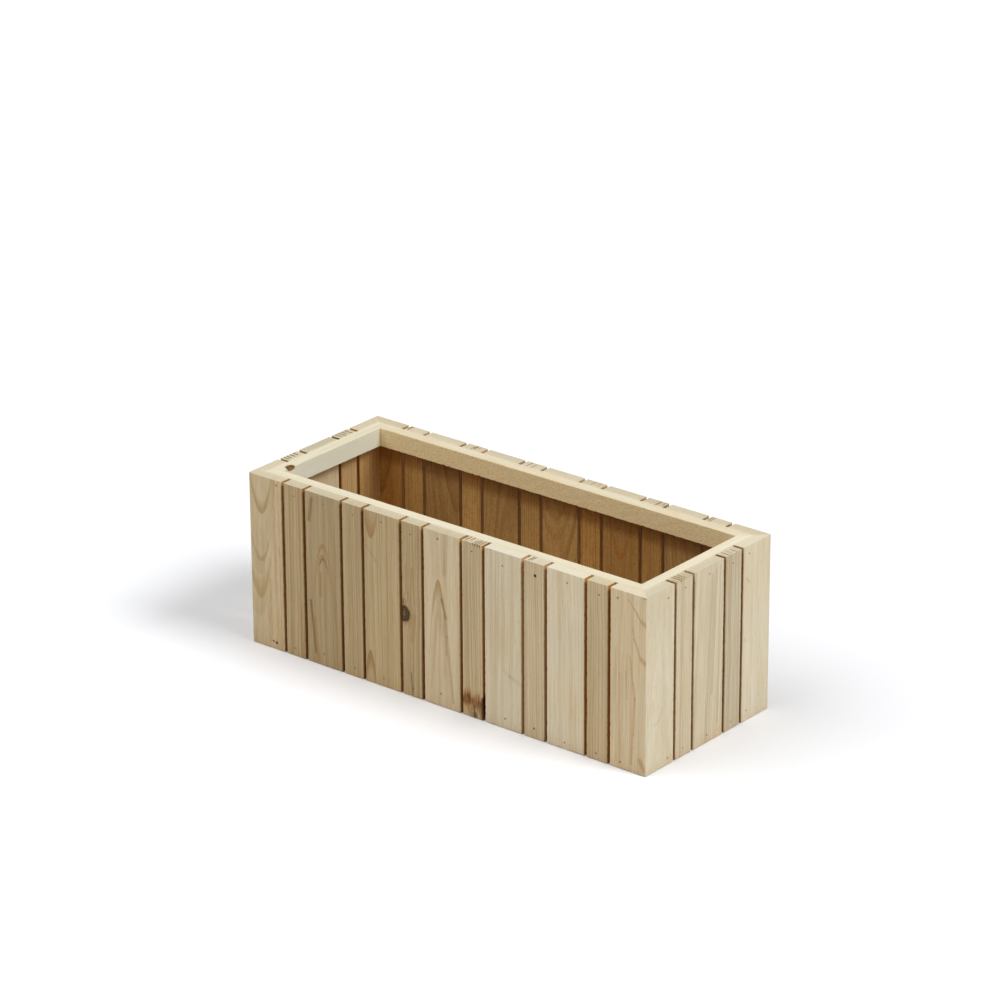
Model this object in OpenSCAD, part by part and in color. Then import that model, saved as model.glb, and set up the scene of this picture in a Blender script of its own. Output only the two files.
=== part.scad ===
// Slatted wooden planter: upright boards nailed round two mitred frames, over a slatted floor.
// The origin is the middle of the footprint on the ground: +X to the right end, +Y to the back, +Z up.
// Wall boards are numbered from left to right as each wall is seen from outside.

/* [Planter] */
// Length over the wall boards
planter_l = 600; // [500:5:760]
// Width over the wall boards, front to back
planter_w = 236; // [190:2:320]
// Height from the ground to the rim
planter_h = 222; // [150:2:400]

/* [Wall boards] */
// Thickness of the wall boards
board_t = 15; // [11:0.5:20]
// Width of a narrow board
narrow_w = 30; // [20:0.5:40]
// Narrow boards in each long wall, one between every two wide boards
long_narrows = 6; // [4:1:7]
// Narrow boards in each end wall
end_narrows = 2; // [1:1:3]
// Slit between two wall boards
slit = 3.7; // [1:0.1:6]
// How much narrower a corner board's face is than a wide board
corner_trim = 3; // [0:0.5:8]
// Rounding of the boards' long outer edges
arris_r = 1; // [0.5:0.25:2]

/* [Frames] */
// Width of a rail, across the wall
rail_w = 14.5; // [12:0.5:20]
// Height of a rail
rail_h = 24; // [18:1:34]

/* [Floor] */
// Thickness of the floor boards
floor_t = 15; // [10:0.5:20]
// Number of floor boards, which lie across the planter
floor_boards = 9; // [7:1:11]
// Drainage gap between two floor boards
drain_gap = 9.5; // [5:0.5:14]
// Play between the floor and the wall boards all round
floor_play = 1; // [0.5:0.25:2]

/* [Brads] */
// Diameter of a brad's shank
shank_d = 1.6; // [1.2:0.1:2]
// Diameter of a brad's head
head_d = 2.6; // [2.2:0.1:3.4]
// Thickness of a brad's head
head_t = 0.9; // [0.6:0.1:1.4]
// How far a head is sunk below the wood
head_sink = 0.5; // [0.2:0.1:1]
// How far a wall brad bites into a rail
bite = 10; // [6:0.5:11]
// Height of the wall brads above the bottom of the lower frame, and below the top of the upper one
brad_inset = 11; // [8:0.5:13]
// Distance of a corner board's brads from its straight edge
corner_brad_edge = 11.5; // [8:0.5:14]
// Distance of a floor brad from the long edge of its board
floor_brad_edge = 12; // [8:0.5:16]
// Distance of a frame brad from the outer corner of its frame
frame_brad_in = 5; // [4:0.5:7]
// Free play round a brad in its hole
brad_play = 0.1; // [0.05:0.05:0.2]

/* [Hidden] */
$fn = 32;
cut_over = 1;

// Walls in order round the planter, with the quarter turn that carries the front wall to each.
WALLS = ["front", "right", "back", "left"];
FRAMES = ["bottom", "top"];

frame_in = board_t + rail_w;
floor_z = rail_h;
floor_l = planter_w - 2 * (board_t + floor_play);
floor_span = planter_l - 2 * (board_t + floor_play);
floor_board_w = (floor_span - (floor_boards - 1) * drain_gap) / floor_boards;
floor_pitch = floor_board_w + drain_gap;

// A floor brad ends this far above the wall brads that cross below it.
brad_pass = 3;
floor_bite = rail_h - brad_inset - brad_pass;
// A frame brad runs midway between the wall brads and the rail's inner edge, through the mitre.
frame_brad_up = (brad_inset + rail_h) / 2;
frame_brad_l = frame_brad_in + 2 * bite;

function wall_turn(wall) = 90 * search([wall], WALLS)[0];
function is_long(wall) = wall == "front" || wall == "back";
function wall_span(wall) = is_long(wall) ? planter_l : planter_w;
function other_span(wall) = is_long(wall) ? planter_w : planter_l;
function narrows(wall) = is_long(wall) ? long_narrows : end_narrows;
function board_count(wall) = 2 * narrows(wall) + 1;

// The wide boards are ripped to fill what the narrow boards and the slits leave of the wall.
function wide_w(wall) =
    (wall_span(wall) + 2 * corner_trim - narrows(wall) * (narrow_w + 2 * slit)) / (narrows(wall) + 1);
function is_corner(wall, i) = i == 1 || i == board_count(wall);
function board_w(wall, i) =
    is_corner(wall, i) ? wide_w(wall) - corner_trim : i % 2 == 0 ? narrow_w : wide_w(wall);
function board_at(wall, i) = i == 1 ? 0 : board_at(wall, i - 1) + board_w(wall, i - 1) + slit;

// Where a board's brads stand along the wall: on its middle line, or near a corner board's straight edge.
function brad_at(wall, i) =
    i == 1 ? board_w(wall, 1) - corner_brad_edge
    : i == board_count(wall) ? board_at(wall, i) + corner_brad_edge
    : board_at(wall, i) + board_w(wall, i) / 2;
function frame_z(level) = level == "top" ? planter_h - rail_h : 0;
function mirrored_up(level, up) = level == "top" ? planter_h - up : up;

function floor_board_at(k) = board_t + floor_play + (k - 1) * floor_pitch;

function two_digits(i) = str(i < 10 ? "0" : "", i);
function board_name(wall, i) = str(wall, "_slat_", two_digits(i));
function rail_name(level, wall) = str(level, "_rail_", wall);
function floor_name(k) = str("floor_board_", two_digits(k));

// Carries what is drawn for the front wall, with its outer left corner at the origin, to a wall.
module on_wall(wall) {
    rotate([0, 0, wall_turn(wall)])
        translate([-wall_span(wall) / 2, -other_span(wall) / 2, 0])
            children();
}

// Turns what points down so that it points into the wall.
module into_wall() {
    rotate([90, 0, 0]) children();
}

// The waste outside a rounded edge, for an outer corner at the origin.
module arris_waste() {
    difference() {
        translate([-cut_over, -cut_over]) square(arris_r + cut_over);
        translate([arris_r, arris_r]) circle(r = arris_r);
    }
}

// A brad with the top of its head at the origin, pointing down.
module brad(long) {
    rotate_extrude()
        polygon([
            [0, 0],
            [head_d / 2, 0],
            [head_d / 2, -head_t],
            [shank_d / 2, -head_t],
            [shank_d / 2, shank_d - long],
            [0, -long]
        ]);
}

// The hole that a brad leaves in the wood, open above it.
module brad_hole(long) {
    pocket = head_t + 2 * brad_play;
    translate([0, 0, -pocket]) cylinder(d = head_d + 2 * brad_play, h = pocket + head_sink + cut_over);
    translate([0, 0, -long - 2 * brad_play]) cylinder(d = shank_d + 2 * brad_play, h = long);
}

wall_brad_l = board_t - head_sink + bite;
floor_brad_l = floor_t - head_sink + floor_bite;

// Places its children at every wall brad of one wall and one frame.
module at_wall_brads(wall, level, boards) {
    for (i = boards)
        translate([brad_at(wall, i), head_sink, mirrored_up(level, brad_inset)])
            into_wall()
                children();
}

// Places its children at the frame brads of a long wall, one at each end, with their heads flush in the rail.
module at_frame_brads(wall, level) {
    for (along = [board_t + frame_brad_in, wall_span(wall) - board_t - frame_brad_in])
        translate([along, board_t, mirrored_up(level, frame_brad_up)])
            into_wall()
                children();
}

// Places its children at the two brads that hold one end of a floor board to the rail of a long wall.
module at_floor_brads(k) {
    for (across = [floor_brad_edge, floor_board_w - floor_brad_edge])
        translate([floor_board_at(k) + across, board_t + rail_w / 2, floor_z + floor_t - head_sink])
            children();
}

// A wall board: mitred where it meets the next wall, with its outer edges rounded and its brad holes.
module wall_board(wall, i) {
    w = board_w(wall, i);
    mitre_left = i == 1 ? board_t : 0;
    mitre_right = i == board_count(wall) ? board_t : 0;
    color(i % 2 == 0 ? "#cdb98b" : "#dbc99f")
        on_wall(wall)
            difference() {
                translate([board_at(wall, i), 0, 0])
                    linear_extrude(planter_h)
                        difference() {
                            polygon([[0, 0], [w, 0], [w - mitre_right, board_t], [mitre_left, board_t]]);
                            arris_waste();
                            translate([w, 0]) mirror([1, 0]) arris_waste();
                        }
                for (level = FRAMES)
                    at_wall_brads(wall, level, [i]) brad_hole(wall_brad_l);
            }
}

// A rail: mitred at both ends, bored for the brads that enter it from the wall, the mitre and the floor.
module rail(level, wall) {
    span = wall_span(wall);
    color("#efe3c0")
        difference() {
            on_wall(wall)
                translate([0, 0, frame_z(level)])
                    linear_extrude(rail_h)
                        polygon([
                            [board_t, board_t],
                            [span - board_t, board_t],
                            [span - frame_in, frame_in],
                            [frame_in, frame_in]
                        ]);
            on_wall(wall)
                at_wall_brads(wall, level, [1 : board_count(wall)]) brad_hole(wall_brad_l);
            for (long_wall = ["front", "back"])
                on_wall(long_wall)
                    at_frame_brads(long_wall, level) brad_hole(frame_brad_l);
            if (level == "bottom" && is_long(wall))
                on_wall(wall)
                    for (k = [1 : floor_boards])
                        at_floor_brads(k) brad_hole(floor_brad_l);
        }
}

// A floor board, lying across the planter on the lower frame.
module floor_board(k) {
    color("#c9b484")
        difference() {
            on_wall("front")
                translate([floor_board_at(k), board_t + floor_play, floor_z])
                    cube([floor_board_w, floor_l, floor_t]);
            on_wall("front") at_floor_brads(k) brad_hole(floor_brad_l);
            on_wall("back") at_floor_brads(floor_boards + 1 - k) brad_hole(floor_brad_l);
        }
}

// The brads that hold the wall boards to both frames.
module wall_brads() {
    color("#8f8d86")
        for (wall = WALLS, level = FRAMES)
            on_wall(wall)
                at_wall_brads(wall, level, [1 : board_count(wall)]) brad(wall_brad_l);
}

// The brads that hold the mitres of both frames together, hidden behind the corner boards.
module frame_brads() {
    color("#8f8d86")
        for (wall = ["front", "back"], level = FRAMES)
            on_wall(wall)
                at_frame_brads(wall, level)
                    translate([0, 0, -brad_play]) brad(frame_brad_l);
}

// The brads that hold the floor boards down, two at each end of a board.
module floor_brads() {
    color("#8f8d86")
        for (wall = ["front", "back"], k = [1 : floor_boards])
            on_wall(wall)
                at_floor_brads(k) brad(floor_brad_l);
}

for (wall = WALLS, i = [1 : board_count(wall)])
    wall_board(wall, i);
for (level = FRAMES, wall = WALLS)
    rail(level, wall);
for (k = [1 : floor_boards])
    floor_board(k);
wall_brads();
frame_brads();
floor_brads();
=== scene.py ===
import logging
import math
from dataclasses import dataclass, field, replace
from enum import Enum
from typing import ClassVar

import bpy
import numpy as np
from mathutils import Matrix, Quaternion, Vector


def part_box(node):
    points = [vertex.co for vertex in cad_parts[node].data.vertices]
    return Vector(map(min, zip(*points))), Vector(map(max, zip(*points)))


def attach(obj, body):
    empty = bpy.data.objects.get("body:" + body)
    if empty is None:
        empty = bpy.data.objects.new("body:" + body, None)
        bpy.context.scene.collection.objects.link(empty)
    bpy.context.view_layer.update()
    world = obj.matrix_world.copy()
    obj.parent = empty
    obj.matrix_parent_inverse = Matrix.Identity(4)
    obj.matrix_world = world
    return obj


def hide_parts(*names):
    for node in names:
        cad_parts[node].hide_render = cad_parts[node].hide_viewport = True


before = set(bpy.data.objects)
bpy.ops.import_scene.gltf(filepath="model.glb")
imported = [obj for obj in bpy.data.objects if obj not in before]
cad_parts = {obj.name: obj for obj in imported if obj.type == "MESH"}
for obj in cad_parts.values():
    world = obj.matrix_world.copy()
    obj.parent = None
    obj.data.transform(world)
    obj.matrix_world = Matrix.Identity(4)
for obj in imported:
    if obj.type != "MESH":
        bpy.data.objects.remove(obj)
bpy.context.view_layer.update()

log = logging.getLogger("planter")

MM = 0.001
BODY = "root"

# A spot is a place across and along a board, or another pair of lengths. A size is three lengths.
Spot = tuple[float, float]
Size = tuple[float, float, float]
# A shade is red, green and blue.
Shade = tuple[float, float, float]
# A brad is its place across and along its board, and how deep it is sunk.
Brad = tuple[float, float, float]
Socket = bpy.types.NodeSocket


class Side(Enum):
    """The four walls, in order round the planter, each a quarter turn on from the one before."""

    FRONT = 0
    RIGHT = 1
    BACK = 2
    LEFT = 3

    @property
    def word(self) -> str:
        """The wall's word in the names of its pieces."""
        return self.name.lower()

    @property
    def along(self) -> Vector:
        """The direction from left to right, as the wall is seen from outside."""
        return Vector(((1, 0, 0), (0, 1, 0), (-1, 0, 0), (0, -1, 0))[self.value])

    @property
    def inward(self) -> Vector:
        """The direction into the wall from outside."""
        return Vector(((0, 1, 0), (-1, 0, 0), (0, -1, 0), (1, 0, 0))[self.value])


class Tone(Enum):
    """How the clear wood of a board looks: its pale early wood and its brown late wood."""

    IVORY = ((0.86, 0.81, 0.65), (0.76, 0.68, 0.49))
    PALE = ((0.87, 0.79, 0.61), (0.74, 0.62, 0.42))
    CREAM = ((0.86, 0.76, 0.57), (0.64, 0.49, 0.29))
    HONEY = ((0.84, 0.70, 0.48), (0.56, 0.39, 0.20))
    STRAW = ((0.80, 0.65, 0.42), (0.52, 0.35, 0.16))
    TAN = ((0.71, 0.55, 0.32), (0.40, 0.25, 0.105))

    @property
    def early(self) -> Shade:
        """The colour of the wood that grows in spring."""
        return self.value[0]

    @property
    def late(self) -> Shade:
        """The colour of the wood that grows in autumn."""
        return self.value[1]


class Stain(Enum):
    """The colours that are laid over the wood: streaks and marks, and faces that are sawn or planed."""

    RESIN = (0.42, 0.23, 0.08)
    UMBER = (0.27, 0.15, 0.05)
    HEART = (0.20, 0.14, 0.06)
    BARK = (0.085, 0.036, 0.011)
    SCORCH = (0.22, 0.065, 0.016)
    AMBER = (0.60, 0.31, 0.09)
    OCHRE = (0.47, 0.29, 0.10)
    GREY = (0.30, 0.26, 0.19)
    BRUISE = (0.40, 0.35, 0.23)
    KNOT = (0.11, 0.055, 0.018)
    KNOT_RING = (0.035, 0.014, 0.004)
    POCKET = (0.26, 0.12, 0.032)
    SAWN_RAIL = (0.95, 0.76, 0.43)
    PLANED_RAIL = (0.86, 0.90, 0.78)
    INNER_END = (0.72, 0.665, 0.48)


class Wash(Enum):
    """The colours that the wood's own colour is multiplied by, among them two of painted shade."""

    WEATHERED = (0.85, 0.81, 0.72)
    COOL = (0.96, 0.97, 0.93)
    WARM = (1.0, 0.95, 0.85)
    FIBRE = (0.78, 0.68, 0.52)
    RESIN_DASH = (0.50, 0.37, 0.22)
    # The sides of boards: the brown of sawn wood, and painted shade in the slits between boards.
    SAWN_SIDE = (0.62, 0.365, 0.10)
    SAWN_END = (0.74, 0.65, 0.50)
    SAWN_BACK = (0.75, 0.56, 0.31)
    SAWN_GRAIN = (0.70, 0.60, 0.44)
    # A painted shadow of the upper frame, laid on inner faces just below it.
    BELOW_RIM = (0.66, 0.56, 0.46)


class Grain(Enum):
    """The sizes of the patterns in wood and steel, in millimetres across, into and along a board."""

    SWAY = (55.0, 55.0, 230.0)
    WAVE = (13.0, 13.0, 60.0)
    WIGGLE = (3.0, 3.0, 22.0)
    RING_DRIFT = (11.0, 11.0, 11.0)
    WEATHER = (34.0, 34.0, 150.0)
    TINT = (60.0, 60.0, 95.0)
    BAND = (6.5, 6.5, 420.0)
    DASH = (0.6, 0.6, 9.0)
    FIBRE = (0.9, 0.9, 48.0)
    FUZZ = (1.9, 1.9, 3.6)
    MARK_EDGE = (6.0, 9.0, 30.0)
    KNOT_EDGE = (4.0, 9.0, 6.0)
    POCKET_EDGE = (3.0, 3.0, 5.0)
    SCORCH_TONGUE = (2.4, 2.4, 90.0)
    SCORCH_FLECK = (1.1, 1.1, 11.0)
    TARNISH = (0.9, 0.9, 0.9)
    SCRATCH = (0.12, 0.12, 0.5)


@dataclass(frozen=True)
class Growth:
    """Where a board was sawn from its log. All lengths are in millimetres.

    Attributes:
        across: How far the pith lies from the board's left edge, at half its length.
        behind: How far the pith lies behind the face there.
        taper: How fast the pith falls away from the face along the fibre. Above nought the arches point
            along the fibre, and below nought against it.
        lean: How fast the pith moves across the board along the fibre.
        year: The width of one ring.
        strength: How dark the late wood is, from 0 to 1.
        onset: The share of a ring at which its late wood begins.
    """

    across: float = 27.0
    behind: float = 60.0
    taper: float = 0.0
    lean: float = 0.0
    year: float = 3.0
    strength: float = 0.55
    onset: float = 0.35


@dataclass(frozen=True)
class Knot:
    """A knot: where its middle is on the face, its half width and half height, and its depth of tone."""

    at: Spot
    half: Spot
    tone: float = 1.0


@dataclass(frozen=True)
class Streak:
    """A soft straight streak from one spot on the face to another, with its half width in millimetres."""

    start: Spot
    end: Spot
    half: float
    strength: float
    stain: Stain = Stain.RESIN


@dataclass(frozen=True)
class Tongue:
    """One arch of late wood: a parabola with its tip on the face.

    Attributes:
        tip: The tip's place on the face.
        spread: The square of the half width over the distance from the tip, in millimetres.
        points: 1 where the tip points along the fibre, and -1 where it points against it.
        soft: How far behind the tip the tone has faded. Its legs are as much thinner as they are steeper.
        reach: How far the arch runs from its tip before it is lost.
        strength: How much of the stain shows.
        stain: The colour of the arch.
        blur: How soft its outer edge is.
    """

    tip: Spot
    spread: float
    points: int
    soft: float
    reach: float
    strength: float
    stain: Stain = Stain.RESIN
    blur: float = 0.5


@dataclass(frozen=True)
class Scorch:
    """A dark reddish band across a board's foot, with tongues that run up along the fibre.

    Attributes:
        foot: Where the band begins.
        top: Where it ends between its tongues.
        tongue: How far the tongues reach above that.
        strength: How much of the stain shows.
    """

    foot: float
    top: float
    tongue: float
    strength: float


@dataclass(frozen=True)
class Groove:
    """A torn groove in a board's top end.

    Attributes:
        across: Its place across the board.
        half: Its half width.
        depth: How deep it is.
        start: Where it begins, as a share of the board's thickness from the show face.
        stop: Where it ends, in the same way.
    """

    across: float
    half: float
    depth: float
    start: float
    stop: float


@dataclass(frozen=True)
class Pocket:
    """A hollow left by a bark pocket on a long edge: its place along the fibre, half lengths and depth."""

    along: float
    half: Size
    depth: float


@dataclass(frozen=True)
class Lay:
    """How a board lies: its first corner, and the directions across its face and into it."""

    corner: Vector
    across: Vector
    into: Vector

    @property
    def fibre(self) -> Vector:
        """The direction of the board's length."""
        return self.across.cross(self.into)

    @classmethod
    def of_node(cls, node: str, across: Vector, into: Vector) -> "tuple[Lay, Size]":
        """Lays a board in the box of its CAD node.

        Args:
            node: The CAD node's name.
            across: The direction across the board's face.
            into: The direction into the board from its face.

        Returns:
            The lay, and the board's width, thickness and length in millimetres.
        """
        low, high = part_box(node)
        span = high - low
        ways = (across, into, across.cross(into))
        forward = sum(ways, Vector())
        corner = Vector(low[k] if forward[k] > 0 else high[k] for k in range(3))
        return cls(corner, across, into), tuple(abs(way.dot(span)) / MM for way in ways)

    def placed(self, points: np.ndarray) -> np.ndarray:
        """Carries points from the board's own millimetres to the planter's metres.

        Args:
            points: One row for each point: across, into and along the board.

        Returns:
            One row for each point in the planter's frame.
        """
        ways = np.array([self.across, self.into, self.fibre])
        return np.array(self.corner) + MM * points @ ways


def rise(value: np.ndarray, low: float, high: float) -> np.ndarray:
    """Smooth step: 0 below low, 1 above high, and 3t squared less 2t cubed between them.

    Args:
        value: The numbers to step.
        low: Where the step begins.
        high: Where the step ends.

    Returns:
        The stepped numbers.
    """
    share = np.clip((value - low) / (high - low), 0.0, 1.0)
    return share * share * (3.0 - 2.0 * share)


def ripple(seed: int, first: np.ndarray, second: np.ndarray, waves: Spot, count: int = 9) -> np.ndarray:
    """Smooth random relief: the sum of sine waves whose phase is linear in two distances.

    Args:
        seed: The start of the random draws.
        first: The first distance of every point.
        second: The second distance of every point.
        waves: The shortest wavelength along each distance.
        count: How many waves are summed.

    Returns:
        Relief between 0 and 1 at every point.
    """
    draw = np.random.default_rng(seed)
    pace_first = draw.uniform(-1.0, 1.0, count) * 2.0 * math.pi / waves[0]
    pace_second = draw.uniform(0.25, 1.0, count) * 2.0 * math.pi / waves[1]
    turn = draw.uniform(0.0, 2.0 * math.pi, count)
    phase = np.outer(first, pace_first) + np.outer(second, pace_second) + turn
    height = np.sin(phase).sum(axis=1) / (2.2 * math.sqrt(count / 2.0))
    return 0.5 + 0.5 * np.clip(height, -1.0, 1.0)


def ruled(length: float, pitch: float, rounding: float, marks: list[Spot]) -> np.ndarray:
    """Places the lattice lines along one side of a board.

    The lines are even at the pitch, closer within the rounded ends, and clustered at every mark.

    Args:
        length: The side's length.
        pitch: The distance between two even lines.
        rounding: The rounding at both ends.
        marks: The place and the half width of each mark.

    Returns:
        The lines in rising order, from 0 to the length.
    """
    end_gap, least_gap = 0.2, 0.12
    steps = max(2, round((length - 2 * rounding) / pitch))
    even = np.linspace(rounding, length - rounding, steps + 1)
    bend = rounding * (1.0 - np.tan(np.radians([22.5])))
    spread = np.array([-1.5, -1.0, -0.75, -0.4, 0.0, 0.4, 0.75, 1.0, 1.5])
    clusters = [place + half * spread for place, half in marks]
    inside = np.sort(np.concatenate([even, bend, length - bend, *clusters]))
    inside = inside[(inside > end_gap) & (inside < length - end_gap)]
    apart = np.diff(inside, prepend=-1.0) > least_gap
    return np.concatenate([[0.0], inside[apart], [length]])


def skin(lines: tuple[np.ndarray, np.ndarray, np.ndarray]) -> tuple[np.ndarray, np.ndarray]:
    """The closed outside of a block that is ruled with lattice lines in three directions.

    Every lattice point on the outside gets one number, so that neighbouring faces share their points.

    Args:
        lines: The lattice lines in the three directions of a right-handed frame.

    Returns:
        The points, and the four-sided faces between them with their fronts outward.
    """
    counts = [len(line) for line in lines]
    index = np.stack(np.meshgrid(*[np.arange(n) for n in counts], indexing="ij"), axis=-1)
    outside = ((index == 0) | (index == np.array(counts) - 1)).any(axis=-1)
    number = np.full(outside.shape, -1)
    number[outside] = np.arange(outside.sum())
    chosen = index[outside]
    points = np.stack([lines[k][chosen[:, k]] for k in range(3)], axis=1)
    faces = []
    for axis in range(3):
        for end in (0, -1):
            squares = squares_of(number.take(end, axis=axis))
            turned_out = (axis == 1) == (end == 0)
            faces.append(squares if turned_out else squares[:, ::-1])
    return points, np.concatenate(faces)


def squares_of(number: np.ndarray) -> np.ndarray:
    """The four-sided faces of a grid of numbered points, each from its corner on round to the next row."""
    corners = [number[:-1, :-1], number[1:, :-1], number[1:, 1:], number[:-1, 1:]]
    return np.stack(corners, axis=-1).reshape(-1, 4)


def eased(points: np.ndarray, sides: tuple[int, int], lengths: Spot, radius: np.ndarray) -> np.ndarray:
    """Rounds the four edges of a block that run square to two of its directions.

    Near an edge, nested squares round the middle of the rounding become nested circles: a point keeps its
    direction from that middle, and its true distance becomes what its greater offset was.

    Args:
        points: The block's points.
        sides: The two directions that the rounding lies in.
        lengths: The block's lengths in those directions.
        radius: The rounding's radius at every point.

    Returns:
        The moved points.
    """
    one, two = sides
    middle_one = np.clip(points[:, one], radius, lengths[0] - radius)
    middle_two = np.clip(points[:, two], radius, lengths[1] - radius)
    off_one = points[:, one] - middle_one
    off_two = points[:, two] - middle_two
    greater = np.maximum(abs(off_one), abs(off_two))
    distance = np.hypot(off_one, off_two)
    share = np.divide(greater, distance, out=np.ones_like(distance), where=distance > 1e-9)
    moved = points.copy()
    moved[:, one] = middle_one + off_one * share
    moved[:, two] = middle_two + off_two * share
    return moved


def mesh_piece(
    name: str, points: np.ndarray, faces: np.ndarray, material: bpy.types.Material
) -> bpy.types.Object:
    """Puts points and faces into a new object at the origin.

    Args:
        name: The piece's name.
        points: One row for each point, in metres.
        faces: One row of point numbers for each face, all with as many corners.
        material: The piece's material.

    Returns:
        The new object, smooth-shaded across gentle turns only.
    """
    mesh = bpy.data.meshes.new(name)
    corners = faces.shape[1]
    mesh.vertices.add(len(points))
    mesh.vertices.foreach_set("co", points.astype(np.float32).ravel())
    mesh.loops.add(faces.size)
    mesh.loops.foreach_set("vertex_index", faces.astype(np.int32).ravel())
    mesh.polygons.add(len(faces))
    mesh.polygons.foreach_set("loop_start", np.arange(0, faces.size, corners, dtype=np.int32))
    mesh.update(calc_edges=True)
    mesh.validate()
    mesh.materials.append(material)
    mesh.shade_smooth()
    mesh.set_sharp_from_angle(angle=math.radians(40.0))
    piece = bpy.data.objects.new(name, mesh)
    bpy.context.scene.collection.objects.link(piece)
    return piece


@dataclass(frozen=True)
class Number:
    """A number that varies over a surface. Sums with it become nodes of its material."""

    tree: bpy.types.NodeTree
    socket: Socket

    def sum(self, operation: str, *others: "Number | float", clamp: bool = False) -> "Number":
        """Adds one Math node.

        Args:
            operation: The node's operation.
            others: The numbers after this one.
            clamp: Whether the result is kept between 0 and 1.

        Returns:
            The node's result.
        """
        node = self.tree.nodes.new("ShaderNodeMath")
        node.operation = operation
        node.use_clamp = clamp
        for port, value in zip(node.inputs, (self, *others)):
            if isinstance(value, Number):
                self.tree.links.new(value.socket, port)
            else:
                port.default_value = value
        return Number(self.tree, node.outputs[0])

    def __add__(self, other: "Number | float") -> "Number":
        """This number plus another."""
        return self.sum("ADD", other)

    def __sub__(self, other: "Number | float") -> "Number":
        """This number less another."""
        return self.sum("SUBTRACT", other)

    def __mul__(self, other: "Number | float") -> "Number":
        """This number times another."""
        return self.sum("MULTIPLY", other)

    def __truediv__(self, other: "Number | float") -> "Number":
        """This number over another."""
        return self.sum("DIVIDE", other)

    def rise(self, low: float, high: float, least: float = 0.0, most: float = 1.0) -> "Number":
        """A smooth step of this number. It falls where low is above high.

        Args:
            low: Where the step begins.
            high: Where the step ends.
            least: The result where the step begins.
            most: The result where the step ends.

        Returns:
            The stepped number.
        """
        node = self.tree.nodes.new("ShaderNodeMapRange")
        node.interpolation_type = "SMOOTHSTEP" if low < high else "LINEAR"
        self.tree.links.new(self.socket, node.inputs[0])
        for port, value in zip(node.inputs[1:5], (low, high, least, most)):
            port.default_value = value
        return Number(self.tree, node.outputs[0])


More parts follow.
